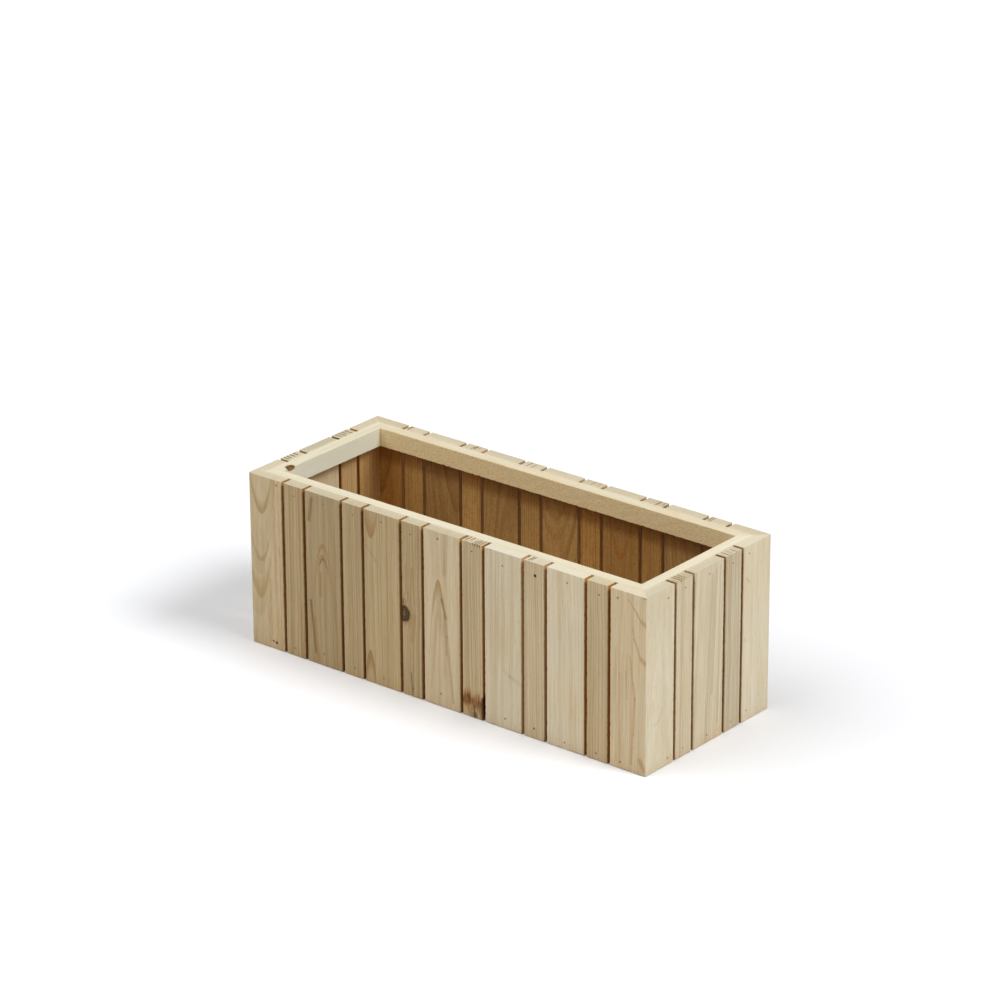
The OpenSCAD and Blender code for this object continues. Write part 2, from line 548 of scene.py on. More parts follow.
class Dressing:
    """A new material, with the few kinds of node that this planter's finishes are made of."""

    def __init__(self, name: str, rough: float, gloss: float, metal: float = 0.0) -> None:
        """Makes the material and its shader.

        Args:
            name: The material's name.
            rough: The shader's roughness where nothing else sets it.
            gloss: The shader's specular level.
            metal: The shader's metalness.
        """
        self.material = bpy.data.materials.new(name)
        self.material.use_nodes = True
        self.tree = self.material.node_tree
        self.shader = self.tree.nodes["Principled BSDF"]
        self.shader.inputs["Roughness"].default_value = rough
        self.shader.inputs["Specular IOR Level"].default_value = gloss
        self.shader.inputs["Metallic"].default_value = metal

    def place(self, lay: Lay | None = None) -> Socket:
        """Object coordinates in millimetres, turned to a board's own directions.

        Args:
            lay: How the board lies, or None for the planter's own frame.

        Returns:
            The socket that gives the place.
        """
        source = self.tree.nodes.new("ShaderNodeTexCoord")
        turn = self.tree.nodes.new("ShaderNodeMapping")
        turn.inputs["Scale"].default_value = (1 / MM,) * 3
        if lay is not None:
            ways = Matrix((lay.across, lay.into, lay.fibre))
            turn.inputs["Rotation"].default_value = ways.to_euler()
            turn.inputs["Location"].default_value = -(ways @ lay.corner) / MM
        self.tree.links.new(source.outputs["Object"], turn.inputs["Vector"])
        return turn.outputs[0]

    def stretched(self, place: Socket, scale: Size, shift: Size) -> Socket:
        """A place times a scale plus a shift.

        Args:
            place: The place to stretch.
            scale: The factor in each direction.
            shift: What is added in each direction.

        Returns:
            The socket that gives the stretched place.
        """
        node = self.tree.nodes.new("ShaderNodeVectorMath")
        node.operation = "MULTIPLY_ADD"
        self.tree.links.new(place, node.inputs[0])
        node.inputs[1].default_value = scale
        node.inputs[2].default_value = shift
        return node.outputs[0]

    def noise_node(
        self, place: Socket, grain: Grain, seed: float, detail: float, harsh: float
    ) -> bpy.types.Node:
        """A noise whose grain has a size in millimetres in each direction.

        Args:
            place: The place in millimetres.
            grain: The size of its grain.
            seed: Sets one noise apart from another.
            detail: How many finer layers are added.
            harsh: How strong the finer layers are.

        Returns:
            The noise node.
        """
        node = self.tree.nodes.new("ShaderNodeTexNoise")
        node.inputs["Scale"].default_value = 1.0
        node.inputs["Detail"].default_value = detail
        node.inputs["Roughness"].default_value = harsh
        scale = tuple(1.0 / size for size in grain.value)
        shift = (seed * 7.31 + 3.7, seed * 3.17 - 11.3, seed * 5.03 + 1.9)
        self.tree.links.new(self.stretched(place, scale, shift), node.inputs["Vector"])
        return node

    def noise(
        self, place: Socket, grain: Grain, seed: float, detail: float = 2.0, harsh: float = 0.5
    ) -> Number:
        """The strength of a noise, round a half."""
        return Number(self.tree, self.noise_node(place, grain, seed, detail, harsh).outputs[0])

    def shoved(self, place: Socket, push: Size, grain: Grain, seed: float) -> Socket:
        """A place shoved about by a noise, each direction by its own amount.

        Args:
            place: The place in millimetres.
            push: How far the noise pushes, from end to end, in each direction.
            grain: The size of the noise's grain.
            seed: Sets one noise apart from another.

        Returns:
            The socket that gives the shoved place.
        """
        colour = self.noise_node(place, grain, seed, 2.0, 0.5).outputs[1]
        shift = tuple(-0.5 * size for size in push)
        pushed = self.stretched(colour, push, shift)
        node = self.tree.nodes.new("ShaderNodeVectorMath")
        node.operation = "ADD"
        self.tree.links.new(place, node.inputs[0])
        self.tree.links.new(pushed, node.inputs[1])
        return node.outputs[0]

    def split(self, place: Socket) -> tuple[Number, Number, Number]:
        """The three numbers of a place."""
        node = self.tree.nodes.new("ShaderNodeSeparateXYZ")
        self.tree.links.new(place, node.inputs[0])
        return tuple(Number(self.tree, output) for output in node.outputs)

    def joined(self, first: Number, second: Number, third: Number) -> Socket:
        """The place that three numbers make."""
        node = self.tree.nodes.new("ShaderNodeCombineXYZ")
        for port, value in zip(node.inputs, (first, second, third)):
            self.tree.links.new(value.socket, port)
        return node.outputs[0]

    def blend(
        self,
        share: "Number | float",
        under: "Socket | Shade",
        over: "Socket | Shade",
        how: str = "MIX",
    ) -> Socket:
        """Lays one colour over another.

        Args:
            share: How much of the upper colour shows.
            under: The lower colour.
            over: The upper colour.
            how: The mixing method.

        Returns:
            The socket that gives the mixed colour.
        """
        node = self.tree.nodes.new("ShaderNodeMix")
        node.data_type = "RGBA"
        node.blend_type = how
        for port, value in ((node.inputs[0], share), (node.inputs[6], under), (node.inputs[7], over)):
            if isinstance(value, Number):
                self.tree.links.new(value.socket, port)
            elif isinstance(value, Socket):
                self.tree.links.new(value, port)
            else:
                port.default_value = value if isinstance(value, float) else (*value, 1.0)
        return node.outputs[2]

    def stained(self, share: "Number | float", colour: Socket, stain: Stain) -> Socket:
        """A colour with a stain laid over it."""
        return self.blend(share, colour, stain.value)

    def washed(self, share: "Number | float", colour: Socket, wash: Wash) -> Socket:
        """A colour multiplied by a wash."""
        return self.blend(share, colour, wash.value, "MULTIPLY")

    def finish(self, colour: Socket, rough: Number, relief: Number) -> bpy.types.Material:
        """Joins a colour, a roughness and a relief in millimetres to the shader.

        Args:
            colour: The socket that gives the colour.
            rough: The roughness.
            relief: The height of the surface.

        Returns:
            The finished material.
        """
        bump = self.tree.nodes.new("ShaderNodeBump")
        bump.inputs["Distance"].default_value = MM
        self.tree.links.new(relief.socket, bump.inputs["Height"])
        self.tree.links.new(bump.outputs[0], self.shader.inputs["Normal"])
        self.tree.links.new(colour, self.shader.inputs["Base Color"])
        self.tree.links.new(rough.socket, self.shader.inputs["Roughness"])
        return self.material


@dataclass(frozen=True)
class Timber:
    """The finish of one pine board: solid wood whose rings run through every face.

    Attributes:
        tone: The colour of the clear wood.
        growth: Where the board was sawn from its log.
        seed: Sets its figure apart from that of other boards.
        knots: The knots on its face.
        streaks: The straight marks on its face.
        tongues: The single arches on its face.
        grooves: The torn grooves in its top end.
        scorch: The scorched band at its foot, if it has one.
        pocket: The bark pocket on its edge, if it has one.
        sawn: How rough and brown its inner face is, from 0 to 1.
        edges: How brown and dark its long edges are, from 0 to 1: the brown of sawn wood, and painted shade
            in the slits between boards.
        rim_stain: How strong the painted shadow of the upper frame is on its inner face, just below that
            frame.
        shade: How bright it is beside other boards of its tone.
        end_grain: The colour of its sawn ends, near the face.
        torn: The colour of its torn grooves.
    """

    tone: Tone = Tone.HONEY
    growth: Growth = Growth()
    seed: int = 1
    knots: tuple[Knot, ...] = ()
    streaks: tuple[Streak, ...] = ()
    tongues: tuple[Tongue, ...] = ()
    grooves: tuple[Groove, ...] = ()
    scorch: Scorch | None = None
    pocket: Pocket | None = None
    sawn: float = 1.0
    edges: float = 1.0
    rim_stain: float = 0.0
    shade: float = 1.0
    end_grain: Shade = (0.58, 0.525, 0.385)
    torn: Shade = (0.24, 0.125, 0.045)

    def rings(self, pad: Dressing, place: Socket, length: float) -> tuple[Number, Socket]:
        """The late wood of the year rings.

        The distance from a leaning pith line, shoved about by the noise of the fibres, is counted in rings.
        In each ring the late wood rises slowly and ends at once, and every ring has its own strength.

        Args:
            pad: The material being made.
            place: The place in the board's own millimetres.
            length: The board's length.

        Returns:
            The late wood from 0 to 1, and the place with the fibres' waves taken out.
        """
        growth = self.growth
        wavy = pad.shoved(place, (7.0, 2.6, 0.0), Grain.SWAY, self.seed + 0.1)
        wavy = pad.shoved(wavy, (2.2, 0.9, 0.0), Grain.WAVE, self.seed + 0.2)
        wavy = pad.shoved(wavy, (0.5, 0.4, 0.0), Grain.WIGGLE, self.seed + 0.3)
        across, into, along = pad.split(wavy)
        for knot in self.knots:
            off = across - knot.at[0]
            up = along - knot.at[1]
            near = (off * off) / (2.6 * knot.half[0] ** 2) + (up * up) / (3.4 * knot.half[1] ** 2)
            across = across - off * (near * -1.0).sum("EXPONENT") * 0.85
        from_mid = along - length / 2
        side = across - from_mid * growth.lean - growth.across
        depth = from_mid * growth.taper + into + growth.behind
        radius = (side * side + depth * depth).sum("SQRT")
        drift = pad.noise(pad.joined(radius, radius, radius), Grain.RING_DRIFT, self.seed + 0.4, 1.0)
        years = radius / growth.year + drift * 2.4
        year = years.sum("FLOOR")
        share = years.sum("FRACT")
        each = self.each_year(pad, year)
        late = share.rise(growth.onset, 0.94) * share.rise(1.0, 0.96)
        return late * each, pad.joined(side, depth, along)

    def each_year(self, pad: Dressing, year: Number) -> Number:
        """A strength of its own for every ring."""
        node = pad.tree.nodes.new("ShaderNodeTexWhiteNoise")
        node.noise_dimensions = "1D"
        pad.tree.links.new((year + float(self.seed)).socket, node.inputs["W"])
        return Number(pad.tree, node.outputs[0]) * 0.75 + 0.45

    def streak_share(self, pad: Dressing, place: Socket, streak: Streak) -> Number:
        """How much of a streak shows: its strength, falling with the distance from a line between two spots.

        Args:
            pad: The material being made.
            place: The place in the board's own millimetres.
            streak: The streak.

        Returns:
            The share from 0 to 1.
        """
        across, _, along = pad.split(place)
        run = (streak.end[0] - streak.start[0], streak.end[1] - streak.start[1])
        size = run[0] ** 2 + run[1] ** 2
        off = across - streak.start[0]
        up = along - streak.start[1]
        gone = (off * (run[0] / size)).sum("MULTIPLY_ADD", 1.0, up * (run[1] / size))
        gone = gone.sum("MINIMUM", 1.0).sum("MAXIMUM", 0.0)
        off = off - gone * run[0]
        up = up - gone * run[1]
        distance = (off * off + up * up).sum("SQRT")
        return distance.rise(streak.half * 1.5, streak.half * 0.3) * streak.strength

    def tongue_share(self, pad: Dressing, place: Socket, tongue: Tongue) -> Number:
        """How much of an arch shows: sharp outside its parabola, and fading inside it and away from its tip.

        The distance from the parabola is what its equation is off by, over the steepness of that equation.
        Inside, the tone lasts as far as a second parabola of the same shape, further back along the fibre.

        Args:
            pad: The material being made.
            place: The place in the board's own millimetres.
            tongue: The arch.

        Returns:
            The share from 0 to 1.
        """
        across, _, along = pad.split(place)
        off = across - tongue.tip[0]
        back = (along - tongue.tip[1]) * float(-tongue.points)
        excess = back - off * off / tongue.spread
        steep = (off * (2.0 / tongue.spread)).sum("POWER", 2.0) + 1.0
        outer = (excess / steep.sum("SQRT")).rise(-1.2 * tongue.blur, 0.8 * tongue.blur)
        inner = excess.rise(tongue.soft, 0.3 * tongue.soft)
        return outer * inner * back.rise(tongue.reach, tongue.reach * 0.35) * tongue.strength

    def scorched(
        self, pad: Dressing, place: Socket, colour: Socket
    ) -> Socket:
        """Draws the scorched band, whose upper edge follows a noise drawn out along the fibre.

        Args:
            pad: The material being made.
            place: The place in the board's own millimetres.
            colour: The colour of the wood so far.

        Returns:
            The socket that gives the colour with the band.
        """
        band = self.scorch
        _, _, along = pad.split(place)
        ragged = pad.noise(place, Grain.SCORCH_TONGUE, self.seed + 7.1, 2.0, 0.6)
        fine = pad.noise(place, Grain.SCORCH_FLECK, self.seed + 7.3, 2.0, 0.6)
        height = along - ragged.rise(0.35, 0.72) * band.tongue
        glow = height.rise(band.top + 9.0, band.top - 3.0)
        glow = glow * along.rise(band.foot - 6.0, band.foot + 5.0, 0.35, 1.0)
        colour = pad.stained(glow * (0.7 * band.strength), colour, Stain.AMBER)
        core = height.rise(band.top + 2.0, band.top - 5.0) * along.rise(band.foot, band.foot + 9.0)
        colour = pad.stained(core * fine.rise(0.2, 0.55) * band.strength, colour, Stain.SCORCH)
        return pad.stained(core * fine.rise(0.54, 0.72) * band.strength, colour, Stain.BARK)

    def knotted(
        self, pad: Dressing, place: Socket, colour: Socket, knot: Knot
    ) -> Socket:
        """Draws a knot: a brown halo, a dark round with darker rings, and a narrow olive heart.

        Args:
            pad: The material being made.
            place: The place in the board's own millimetres.
            colour: The colour of the wood so far.
            knot: The knot.

        Returns:
            The socket that gives the colour with the knot.
        """
        ragged = pad.shoved(place, (2.2, 0.0, 3.0), Grain.KNOT_EDGE, self.seed + 5.5)
        across, _, along = pad.split(ragged)
        off = (across - knot.at[0]) / knot.half[0]
        up = (along - knot.at[1]) / knot.half[1]
        far = (off * off + up * up).sum("SQRT")
        colour = pad.stained(far.rise(2.1, 0.9) * (0.45 * knot.tone), colour, Stain.RESIN)
        colour = pad.stained(far.rise(1.3, 1.0) * (0.8 * knot.tone), colour, Stain.UMBER)
        colour = pad.stained(far.rise(1.1, 0.96) * (0.95 * knot.tone), colour, Stain.KNOT)
        rings = (far * 17.0).sum("SINE") * 0.5 + 0.5
        colour = pad.stained(rings * far.rise(1.08, 0.95) * (0.95 * knot.tone), colour, Stain.KNOT_RING)
        core = (off * off * 10.0 + up * up * 2.4).sum("SQRT")
        return pad.stained(core.rise(0.9, 0.4) * (0.75 * knot.tone), colour, Stain.HEART)

    def grooves_share(self, spot: tuple[Number, Number, Number], size: Size) -> Number:
        """How dark the torn grooves are: the sum of bands across the top end, cut off along the thickness.

        Args:
            spot: The place across, into and along the board.
            size: The board's width, thickness and length.

        Returns:
            The share from 0 to 1.
        """
        across, into, along = spot
        total: Number | None = None
        for groove in self.grooves:
            off = (across - groove.across).sum("ABSOLUTE")
            start, stop = groove.start * size[1], groove.stop * size[1]
            run = into.rise(start - 1.4, start + 0.6) * into.rise(stop + 1.4, stop - 0.6)
            share = off.rise(groove.half * 1.25, groove.half * 0.7) * run
            total = share if total is None else total + share
        return total * along.rise(size[2] - 5.0, size[2] - 1.5)

    def pocketed(self, pad: Dressing, place: Socket, colour: Socket, size: Size) -> Socket:
        """Draws the bark pocket: red-brown inside its hollow, darkest along its rim.

        Args:
            pad: The material being made.
            place: The place in the board's own millimetres.
            colour: The colour of the wood so far.
            size: The board's width, thickness and length.

        Returns:
            The socket that gives the colour with the pocket.
        """
        pocket = self.pocket
        ragged = pad.shoved(place, (1.2, 1.2, 2.0), Grain.POCKET_EDGE, self.seed + 6.5)
        across, into, along = pad.split(ragged)
        off = (across - size[0]) / (pocket.half[0] + pocket.depth)
        down = into / (pocket.half[1] + pocket.depth)
        on = (along - pocket.along) / pocket.half[2]
        far = (off * off + down * down + on * on).sum("SQRT")
        colour = pad.stained(far.rise(1.25, 0.9) * 0.5, colour, Stain.AMBER)
        colour = pad.stained(far.rise(0.98, 0.86), colour, Stain.POCKET)
        rim = far.rise(0.6, 0.82) * far.rise(1.0, 0.9)
        return pad.stained(rim * 0.7, colour, Stain.BARK)

    def clear_wood(self, pad: Dressing, place: Socket, late: Number, flow: Socket, fibre: Number) -> Socket:
        """The colour of the wood without its marks: rings, bands, fibres, resin dashes and drifts of tone.

        Args:
            pad: The material being made.
            place: The place in the board's own millimetres.
            late: The late wood of the rings.
            flow: The place with the fibres' waves taken out.
            fibre: The noise of the fibres.

        Returns:
            The socket that gives the colour.
        """
        broad = pad.noise(place, Grain.WEATHER, self.seed + 0.6)
        drift = pad.noise(place, Grain.TINT, self.seed + 1.3)
        band = pad.noise(flow, Grain.BAND, self.seed + 0.8, 3.0, 0.6)
        dash = pad.noise(flow, Grain.DASH, self.seed + 0.9, 1.0)
        early = tuple(self.shade * part for part in self.tone.early)
        dark = tuple(self.shade * part for part in self.tone.late)
        colour = pad.blend(late * self.growth.strength, early, dark)
        colour = pad.blend(band.rise(0.4, 0.72) * 0.4, colour, dark)
        colour = pad.washed(broad.rise(0.3, 0.75) * 0.4, colour, Wash.WEATHERED)
        colour = pad.washed(drift.rise(0.4, 0.7) * 0.5, colour, Wash.COOL)
        colour = pad.washed(drift.rise(0.55, 0.3) * 0.5, colour, Wash.WARM)
        colour = pad.washed(fibre.rise(0.35, 0.75) * 0.5, colour, Wash.FIBRE)
        return pad.washed(dash.rise(0.64, 0.78) * 0.4, colour, Wash.RESIN_DASH)

    def brad_marks(
        self, pad: Dressing, across: Number, along: Number, colour: Socket, brads: tuple[Brad, ...]
    ) -> Socket:
        """Draws dark rings round the brads, painted shade in their craters, which are the bolder the deeper
        the brads are sunk.

        Args:
            pad: The material being made.
            across: The place across the board.
            along: The place along the board.
            colour: The colour of the wood so far.
            brads: The brads.

        Returns:
            The socket that gives the colour with the rings.
        """
        for brad in brads:
            off = across - brad[0]
            up = along - brad[1]
            far = (off * off + up * up).sum("SQRT")
            # The deeper a brad is sunk, the bolder the painted shade round it.
            ring = 0.9 + 0.4 * brad[2]
            share = far.rise(ring + 0.9, ring) * min(0.95, 0.05 + 0.65 * brad[2])
            colour = pad.stained(share, colour, Stain.BARK)
        return colour

    def sawn_faces(
        self,
        pad: Dressing,
        spot: tuple[Number, Number, Number],
        colour: Socket,
        board: "Board",
        speck: Number,
    ) -> Socket:
        """Colours the sides and the sawn ends of a wall or floor board, and the damp wood at its foot. The
        sides get the brown of sawn wood and painted shade in the slits between boards.

        Args:
            pad: The material being made.
            spot: The place across, into and along the board.
            colour: The colour of the wood so far.
            board: The board.
            speck: The coarse grain of sawn wood.

        Returns:
            The socket that gives the colour.
        """
        across, into, along = spot
        width, thick, length = board.size
        damp = along.rise(15.0, 0.0) * (speck * 0.75 + 0.25)
        colour = pad.stained(damp * 0.45, colour, Stain.AMBER)
        # Sawn brown and painted shade on the long sides, which face the slits between boards.
        left = across.rise(1.1, 0.5) * float(1 - board.mitres[0])
        right = across.rise(width - 1.1, width - 0.5) * float(1 - board.mitres[1])
        side = (left + right) * into.rise(0.4, 1.7)
        colour = pad.washed(side * self.edges, colour, Wash.SAWN_SIDE)
        ends = along.rise(0.55, 0.3) + along.rise(length - 0.55, length - 0.3)
        inward = into.rise(0.55 * thick, thick) * 0.45
        grain_end = pad.blend(inward, self.end_grain, Stain.INNER_END.value)
        colour = pad.blend(ends * 0.78, colour, grain_end)
        return pad.washed(ends * speck * 0.4, colour, Wash.SAWN_END)

    def inner_face(
        self, pad: Dressing, colour: Socket, inner: Number, along: Number, board: "Board"
    ) -> Socket:
        """Browns a board's inner face, and lays a painted shadow of the upper frame on it just below that
        frame. A planed rail's is greyer.

        Args:
            pad: The material being made.
            colour: The colour of the wood so far.
            inner: 1 on the inner face, and 0 elsewhere.
            along: The place along the board.
            board: The board.

        Returns:
            The socket that gives the colour.
        """
        if board.rail and self.sawn == 0.0:
            return pad.stained(inner * 0.5, colour, Stain.PLANED_RAIL)
        if board.rail:
            return pad.stained(inner * (0.85 * self.sawn), colour, Stain.SAWN_RAIL)
        colour = pad.washed(inner * self.sawn, colour, Wash.SAWN_BACK)
        if self.rim_stain == 0.0:
            return colour
        length = board.size[2]
        # Painted shadow of the upper frame on the inner face, just below the frame.
        shadow_band = along.rise(length - 55.0, length - 42.0) * inner
        return pad.washed(shadow_band * self.rim_stain, colour, Wash.BELOW_RIM)

    def material(self, board: "Board") -> bpy.types.Material:
        """Makes a board's material.

        Args:
            board: The board, whose inner face is its far edge where it is a rail, and its back elsewhere.

        Returns:
            The material.
        """
        pad = Dressing(f"pine_{board.node}", 0.68, 0.28)
        place = pad.place(board.lay)
        width, thick, length = size = board.size
        late, flow = self.rings(pad, place, length)
        fibre = pad.noise(flow, Grain.FIBRE, self.seed + 0.7, 3.0, 0.6)
        fuzz = pad.noise(place, Grain.FUZZ, self.seed + 1.0, 3.0, 0.65)
        colour = self.clear_wood(pad, place, late, flow, fibre)
        if self.scorch is not None:
            colour = self.scorched(pad, place, colour)
        ragged = pad.shoved(place, (1.4, 0.0, 0.0), Grain.MARK_EDGE, self.seed + 1.1)
        for tongue in self.tongues:
            share = self.tongue_share(pad, ragged, tongue) * fibre.rise(0.1, 0.6, 0.55, 1.1)
            colour = pad.stained(share, colour, tongue.stain)
        for streak in self.streaks:
            share = self.streak_share(pad, ragged, streak) * fibre.rise(0.2, 0.6, 0.45, 1.1)
            colour = pad.stained(share, colour, streak.stain)
        for knot in self.knots:
            colour = self.knotted(pad, place, colour, knot)
        across, into, along = pad.split(place)
        speck = fuzz.rise(0.48, 0.66)
        ends = along.rise(0.55, 0.3) + along.rise(length - 0.55, length - 0.3)
        if board.rail:
            inner = across.rise(width - 0.9, width - 0.35)
        else:
            inner = into.rise(thick - 0.9, thick - 0.35) * ends.rise(0.9, 0.1)
            colour = self.sawn_faces(pad, (across, into, along), colour, board, speck)
        colour = self.inner_face(pad, colour, inner, along, board)
        speck_share = (0.45 if board.rail else 0.55) * self.sawn
        colour = pad.washed(inner * speck * speck_share, colour, Wash.SAWN_GRAIN)
        if self.grooves:
            share = self.grooves_share((across, into, along), size)
            colour = pad.blend(share * 0.95, colour, self.torn)
        if self.pocket is not None:
            colour = self.pocketed(pad, place, colour, size)
        # Painted shade in the craters round the brads.
        colour = self.brad_marks(pad, across, along, colour, board.brads)
        rough = fibre.rise(0.3, 0.7, 0.60, 0.72) + inner * 0.12
        relief = fibre * 0.10 + late * 0.06 + fuzz * (inner * (0.55 * self.sawn) + ends * 0.3 + 0.05)
        return pad.finish(colour, rough, relief)


@dataclass
class Board:
    """A pine board: a closed block on a ruled lattice, eased, worn, bored for its brads and mitred.

    Attributes:
        node: The CAD node that it stands for.
        lay: How it lies.
        size: Its width, thickness and length in millimetres.
        timber: Its finish.
        slot: The name of a material slot; it is not used.
        arrises: The rounding of the left and right edges of its show face.
        pitch: The distance between lattice lines across, into and along it.
        wear: How uneven its edges, show face, back, foot and head are.
        brads: Where brads stand on its show face, and how deep they are sunk.
        mitres: The left and right edges that lean inward by 45 degrees, as 1 or 0.
        rail: Whether it is a rail. Both ends of a rail lean inward by 45 degrees, and its far edge faces in.
        ragged: How torn the lower edge of a rail's inner face is.
        crater: The radius of the crater round a brad.
        end_ease: The rounding of the ends.
        back_ease: The rounding of the back's long edges.
        flush_ease: The rounding of the back's end edges.
        corner_round: The rounding of the planter's corner over a mitre.
        mitre_fade: How far from a mitre the show face is no longer worn.
    """

    node: str
    lay: Lay
    size: Size
    timber: Timber
    slot: str
    arrises: Spot = (1.0, 1.0)
    pitch: Size = (3.4, 3.6, 3.0)
    wear: tuple[float, float, float, float, float] = (0.4, 0.14, 0.08, 0.9, 0.08)
    brads: tuple[Brad, ...] = ()
    mitres: tuple[int, int] = (0, 0)
    rail: bool = False
    ragged: float = 0.0

    crater: ClassVar[float] = 1.3
    end_ease: ClassVar[float] = 0.45
    back_ease: ClassVar[float] = 0.4
    flush_ease: ClassVar[float] = 0.05
    corner_round: ClassVar[float] = 1.6
    mitre_fade: ClassVar[float] = 8.0

    def lattice(self) -> tuple[np.ndarray, np.ndarray]:
        """The plain block's points and faces, with lines closer together at brads, grooves and pockets."""
        width, thick, length = self.size
        across_marks = [(spot[0], self.crater) for spot in self.brads]
        across_marks += [(groove.across, groove.half) for groove in self.timber.grooves]
        along_marks = [(spot[1], self.crater) for spot in self.brads]
        into_marks = []
        if self.timber.grooves:
            along_marks.append((length - 2.0, 1.3))
        if self.timber.pocket is not None:
            pocket = self.timber.pocket
            across_marks.append((width - 0.5 * pocket.half[0], 0.7 * pocket.half[0]))
            into_marks.append((0.5 * pocket.half[1], 0.7 * pocket.half[1]))
            along_marks += [(step * pocket.half[2], 0.3 * pocket.half[2]) for step in (0.3, 0.9, 1.5)]
        return skin(
            (
                ruled(width, self.pitch[0], max(self.arrises), across_marks),
                ruled(thick, self.pitch[1], max(self.arrises), into_marks),
                ruled(length, self.pitch[2], self.end_ease, along_marks),
            )
        )

    def rounded(self, points: np.ndarray) -> np.ndarray:
        """Rounds the long edges by the arris on the show face, and the other edges a little."""
        width, thick, length = self.size
        left = points[:, 0] < width / 2
        front = points[:, 1] < thick / 2
        sharp = np.where(left, self.mitres[0], self.mitres[1]) == 1
        arris = np.where(left, self.arrises[0], self.arrises[1])
        long_edge = np.where(front, arris, self.back_ease)
        points = eased(points, (0, 1), (width, thick), np.where(sharp, 0.0, long_edge))
        end_edge = np.full(len(points), self.end_ease)
        if self.rail:
            return points
        points = eased(points, (1, 2), (thick, length), np.where(front, end_edge, self.flush_ease))
        return eased(points, (0, 2), (width, length), np.where(sharp, 0.0, end_edge))

    def worn(self, points: np.ndarray) -> np.ndarray:
        """Moves every face inward by its own smooth relief, which fades towards the face opposite."""
        width, thick, length = self.size
        edge, face, back, foot_wear, head_wear = self.wear
        seed = self.timber.seed * 17
        across, into, along = points.T
        free = (1 - self.mitres[0]) * (not self.rail)
        left = edge * free * self.nibbled(seed + 1, into, along)
        right = edge * (1 - self.mitres[1]) * self.nibbled(seed + 3, into, along)
        show = face * ripple(seed + 5, across, along, (14.0, 60.0))
        by_left = self.mitres[0] * rise(-across, -self.mitre_fade, 0.0)
        by_right = self.mitres[1] * rise(across, width - self.mitre_fade, width)
        show *= 1 - by_left - by_right
        rear = back * ripple(seed + 6, across, along, (7.0, 10.0))
        foot = foot_wear * ripple(seed + 7, across, into, (16.0, 12.0))
        head = head_wear * ripple(seed + 8, across, into, (12.0, 12.0))
        moved = np.empty_like(points)
        moved[:, 0] = across + left * (1 - across / width) - right * across / width
        moved[:, 1] = into + show * (1 - into / thick) - rear * into / thick
        moved[:, 2] = along + foot * (1 - along / length) - head * along / length
        if self.ragged:
            tear = rise(ripple(seed + 9, across, along, (90.0, 5.0), 12), 0.62, 0.95)
            tear *= 0.3 + 0.7 * ripple(seed + 10, across, along, (90.0, 34.0))
            moved[:, 1] -= self.ragged * tear * rise(into, thick - 5.0, thick) * rise(across, 0.0, width)
            pits = 0.6 * ripple(seed + 11, into, along, (9.0, 24.0), 14)
            pits += 0.4 * ripple(seed + 12, into, along, (4.5, 6.0), 20)
            moved[:, 0] -= 0.3 * self.ragged * pits * rise(across, 0.7 * width, width)
        return moved

    def nibbled(self, seed: int, into: np.ndarray, along: np.ndarray) -> np.ndarray:
        """How far a long edge is worn back: short and long waves along it, and a few small bites."""
        waves = 0.5 * ripple(seed, into, along, (60.0, 8.0))
        waves += 0.4 * ripple(seed + 1, into, along, (25.0, 55.0))
        bites = rise(ripple(seed + 20, into, along, (30.0, 5.5), 12), 0.66, 0.9)
        return waves + 0.9 * bites

    def bored(self, points: np.ndarray) -> np.ndarray:
        """Sinks a small round crater into the show face at every brad."""
        moved = points.copy()
        for spot in self.brads:
            distance = np.hypot(points[:, 0] - spot[0], points[:, 2] - spot[1])
            depth = (spot[2] + 0.25) * rise(-distance, -self.crater, -0.8 * self.crater)
            moved[:, 1] += depth * rise(-points[:, 1], -1.5, -0.5)
        return moved

    def grooved(self, points: np.ndarray) -> np.ndarray:
        """Tears the grooves into the top end, each a rounded trench across part of the thickness."""
        _, thick, length = self.size
        moved = points.copy()
        for groove in self.timber.grooves:
            trench = rise(-abs(points[:, 0] - groove.across), -groove.half, -0.4 * groove.half)
            run = rise(points[:, 1] / thick, groove.start - 0.12, groove.start + 0.12)
            run *= rise(-points[:, 1] / thick, -groove.stop - 0.12, -groove.stop + 0.12)
            moved[:, 2] -= groove.depth * trench * run * rise(points[:, 2], length - 4.0, length - 0.6)
        return moved

    def hollowed(self, points: np.ndarray) -> np.ndarray:
        """Draws the points within a bark pocket towards the inside of the wood."""
        pocket = self.timber.pocket
        if pocket is None:
            return points
        off = (points[:, 0] - self.size[0]) / pocket.half[0]
        down = points[:, 1] / pocket.half[1]
        on = (points[:, 2] - pocket.along) / pocket.half[2]
        far = np.sqrt(off**2 + down**2 + on**2)
        depth = pocket.depth * rise(-far, -1.0, -0.62)
        moved = points.copy()
        moved[:, 0] -= depth * rise(-off**2, -1.0, 0.0)
        moved[:, 1] += depth * rise(-(down**2), -1.0, 0.0)
        return moved

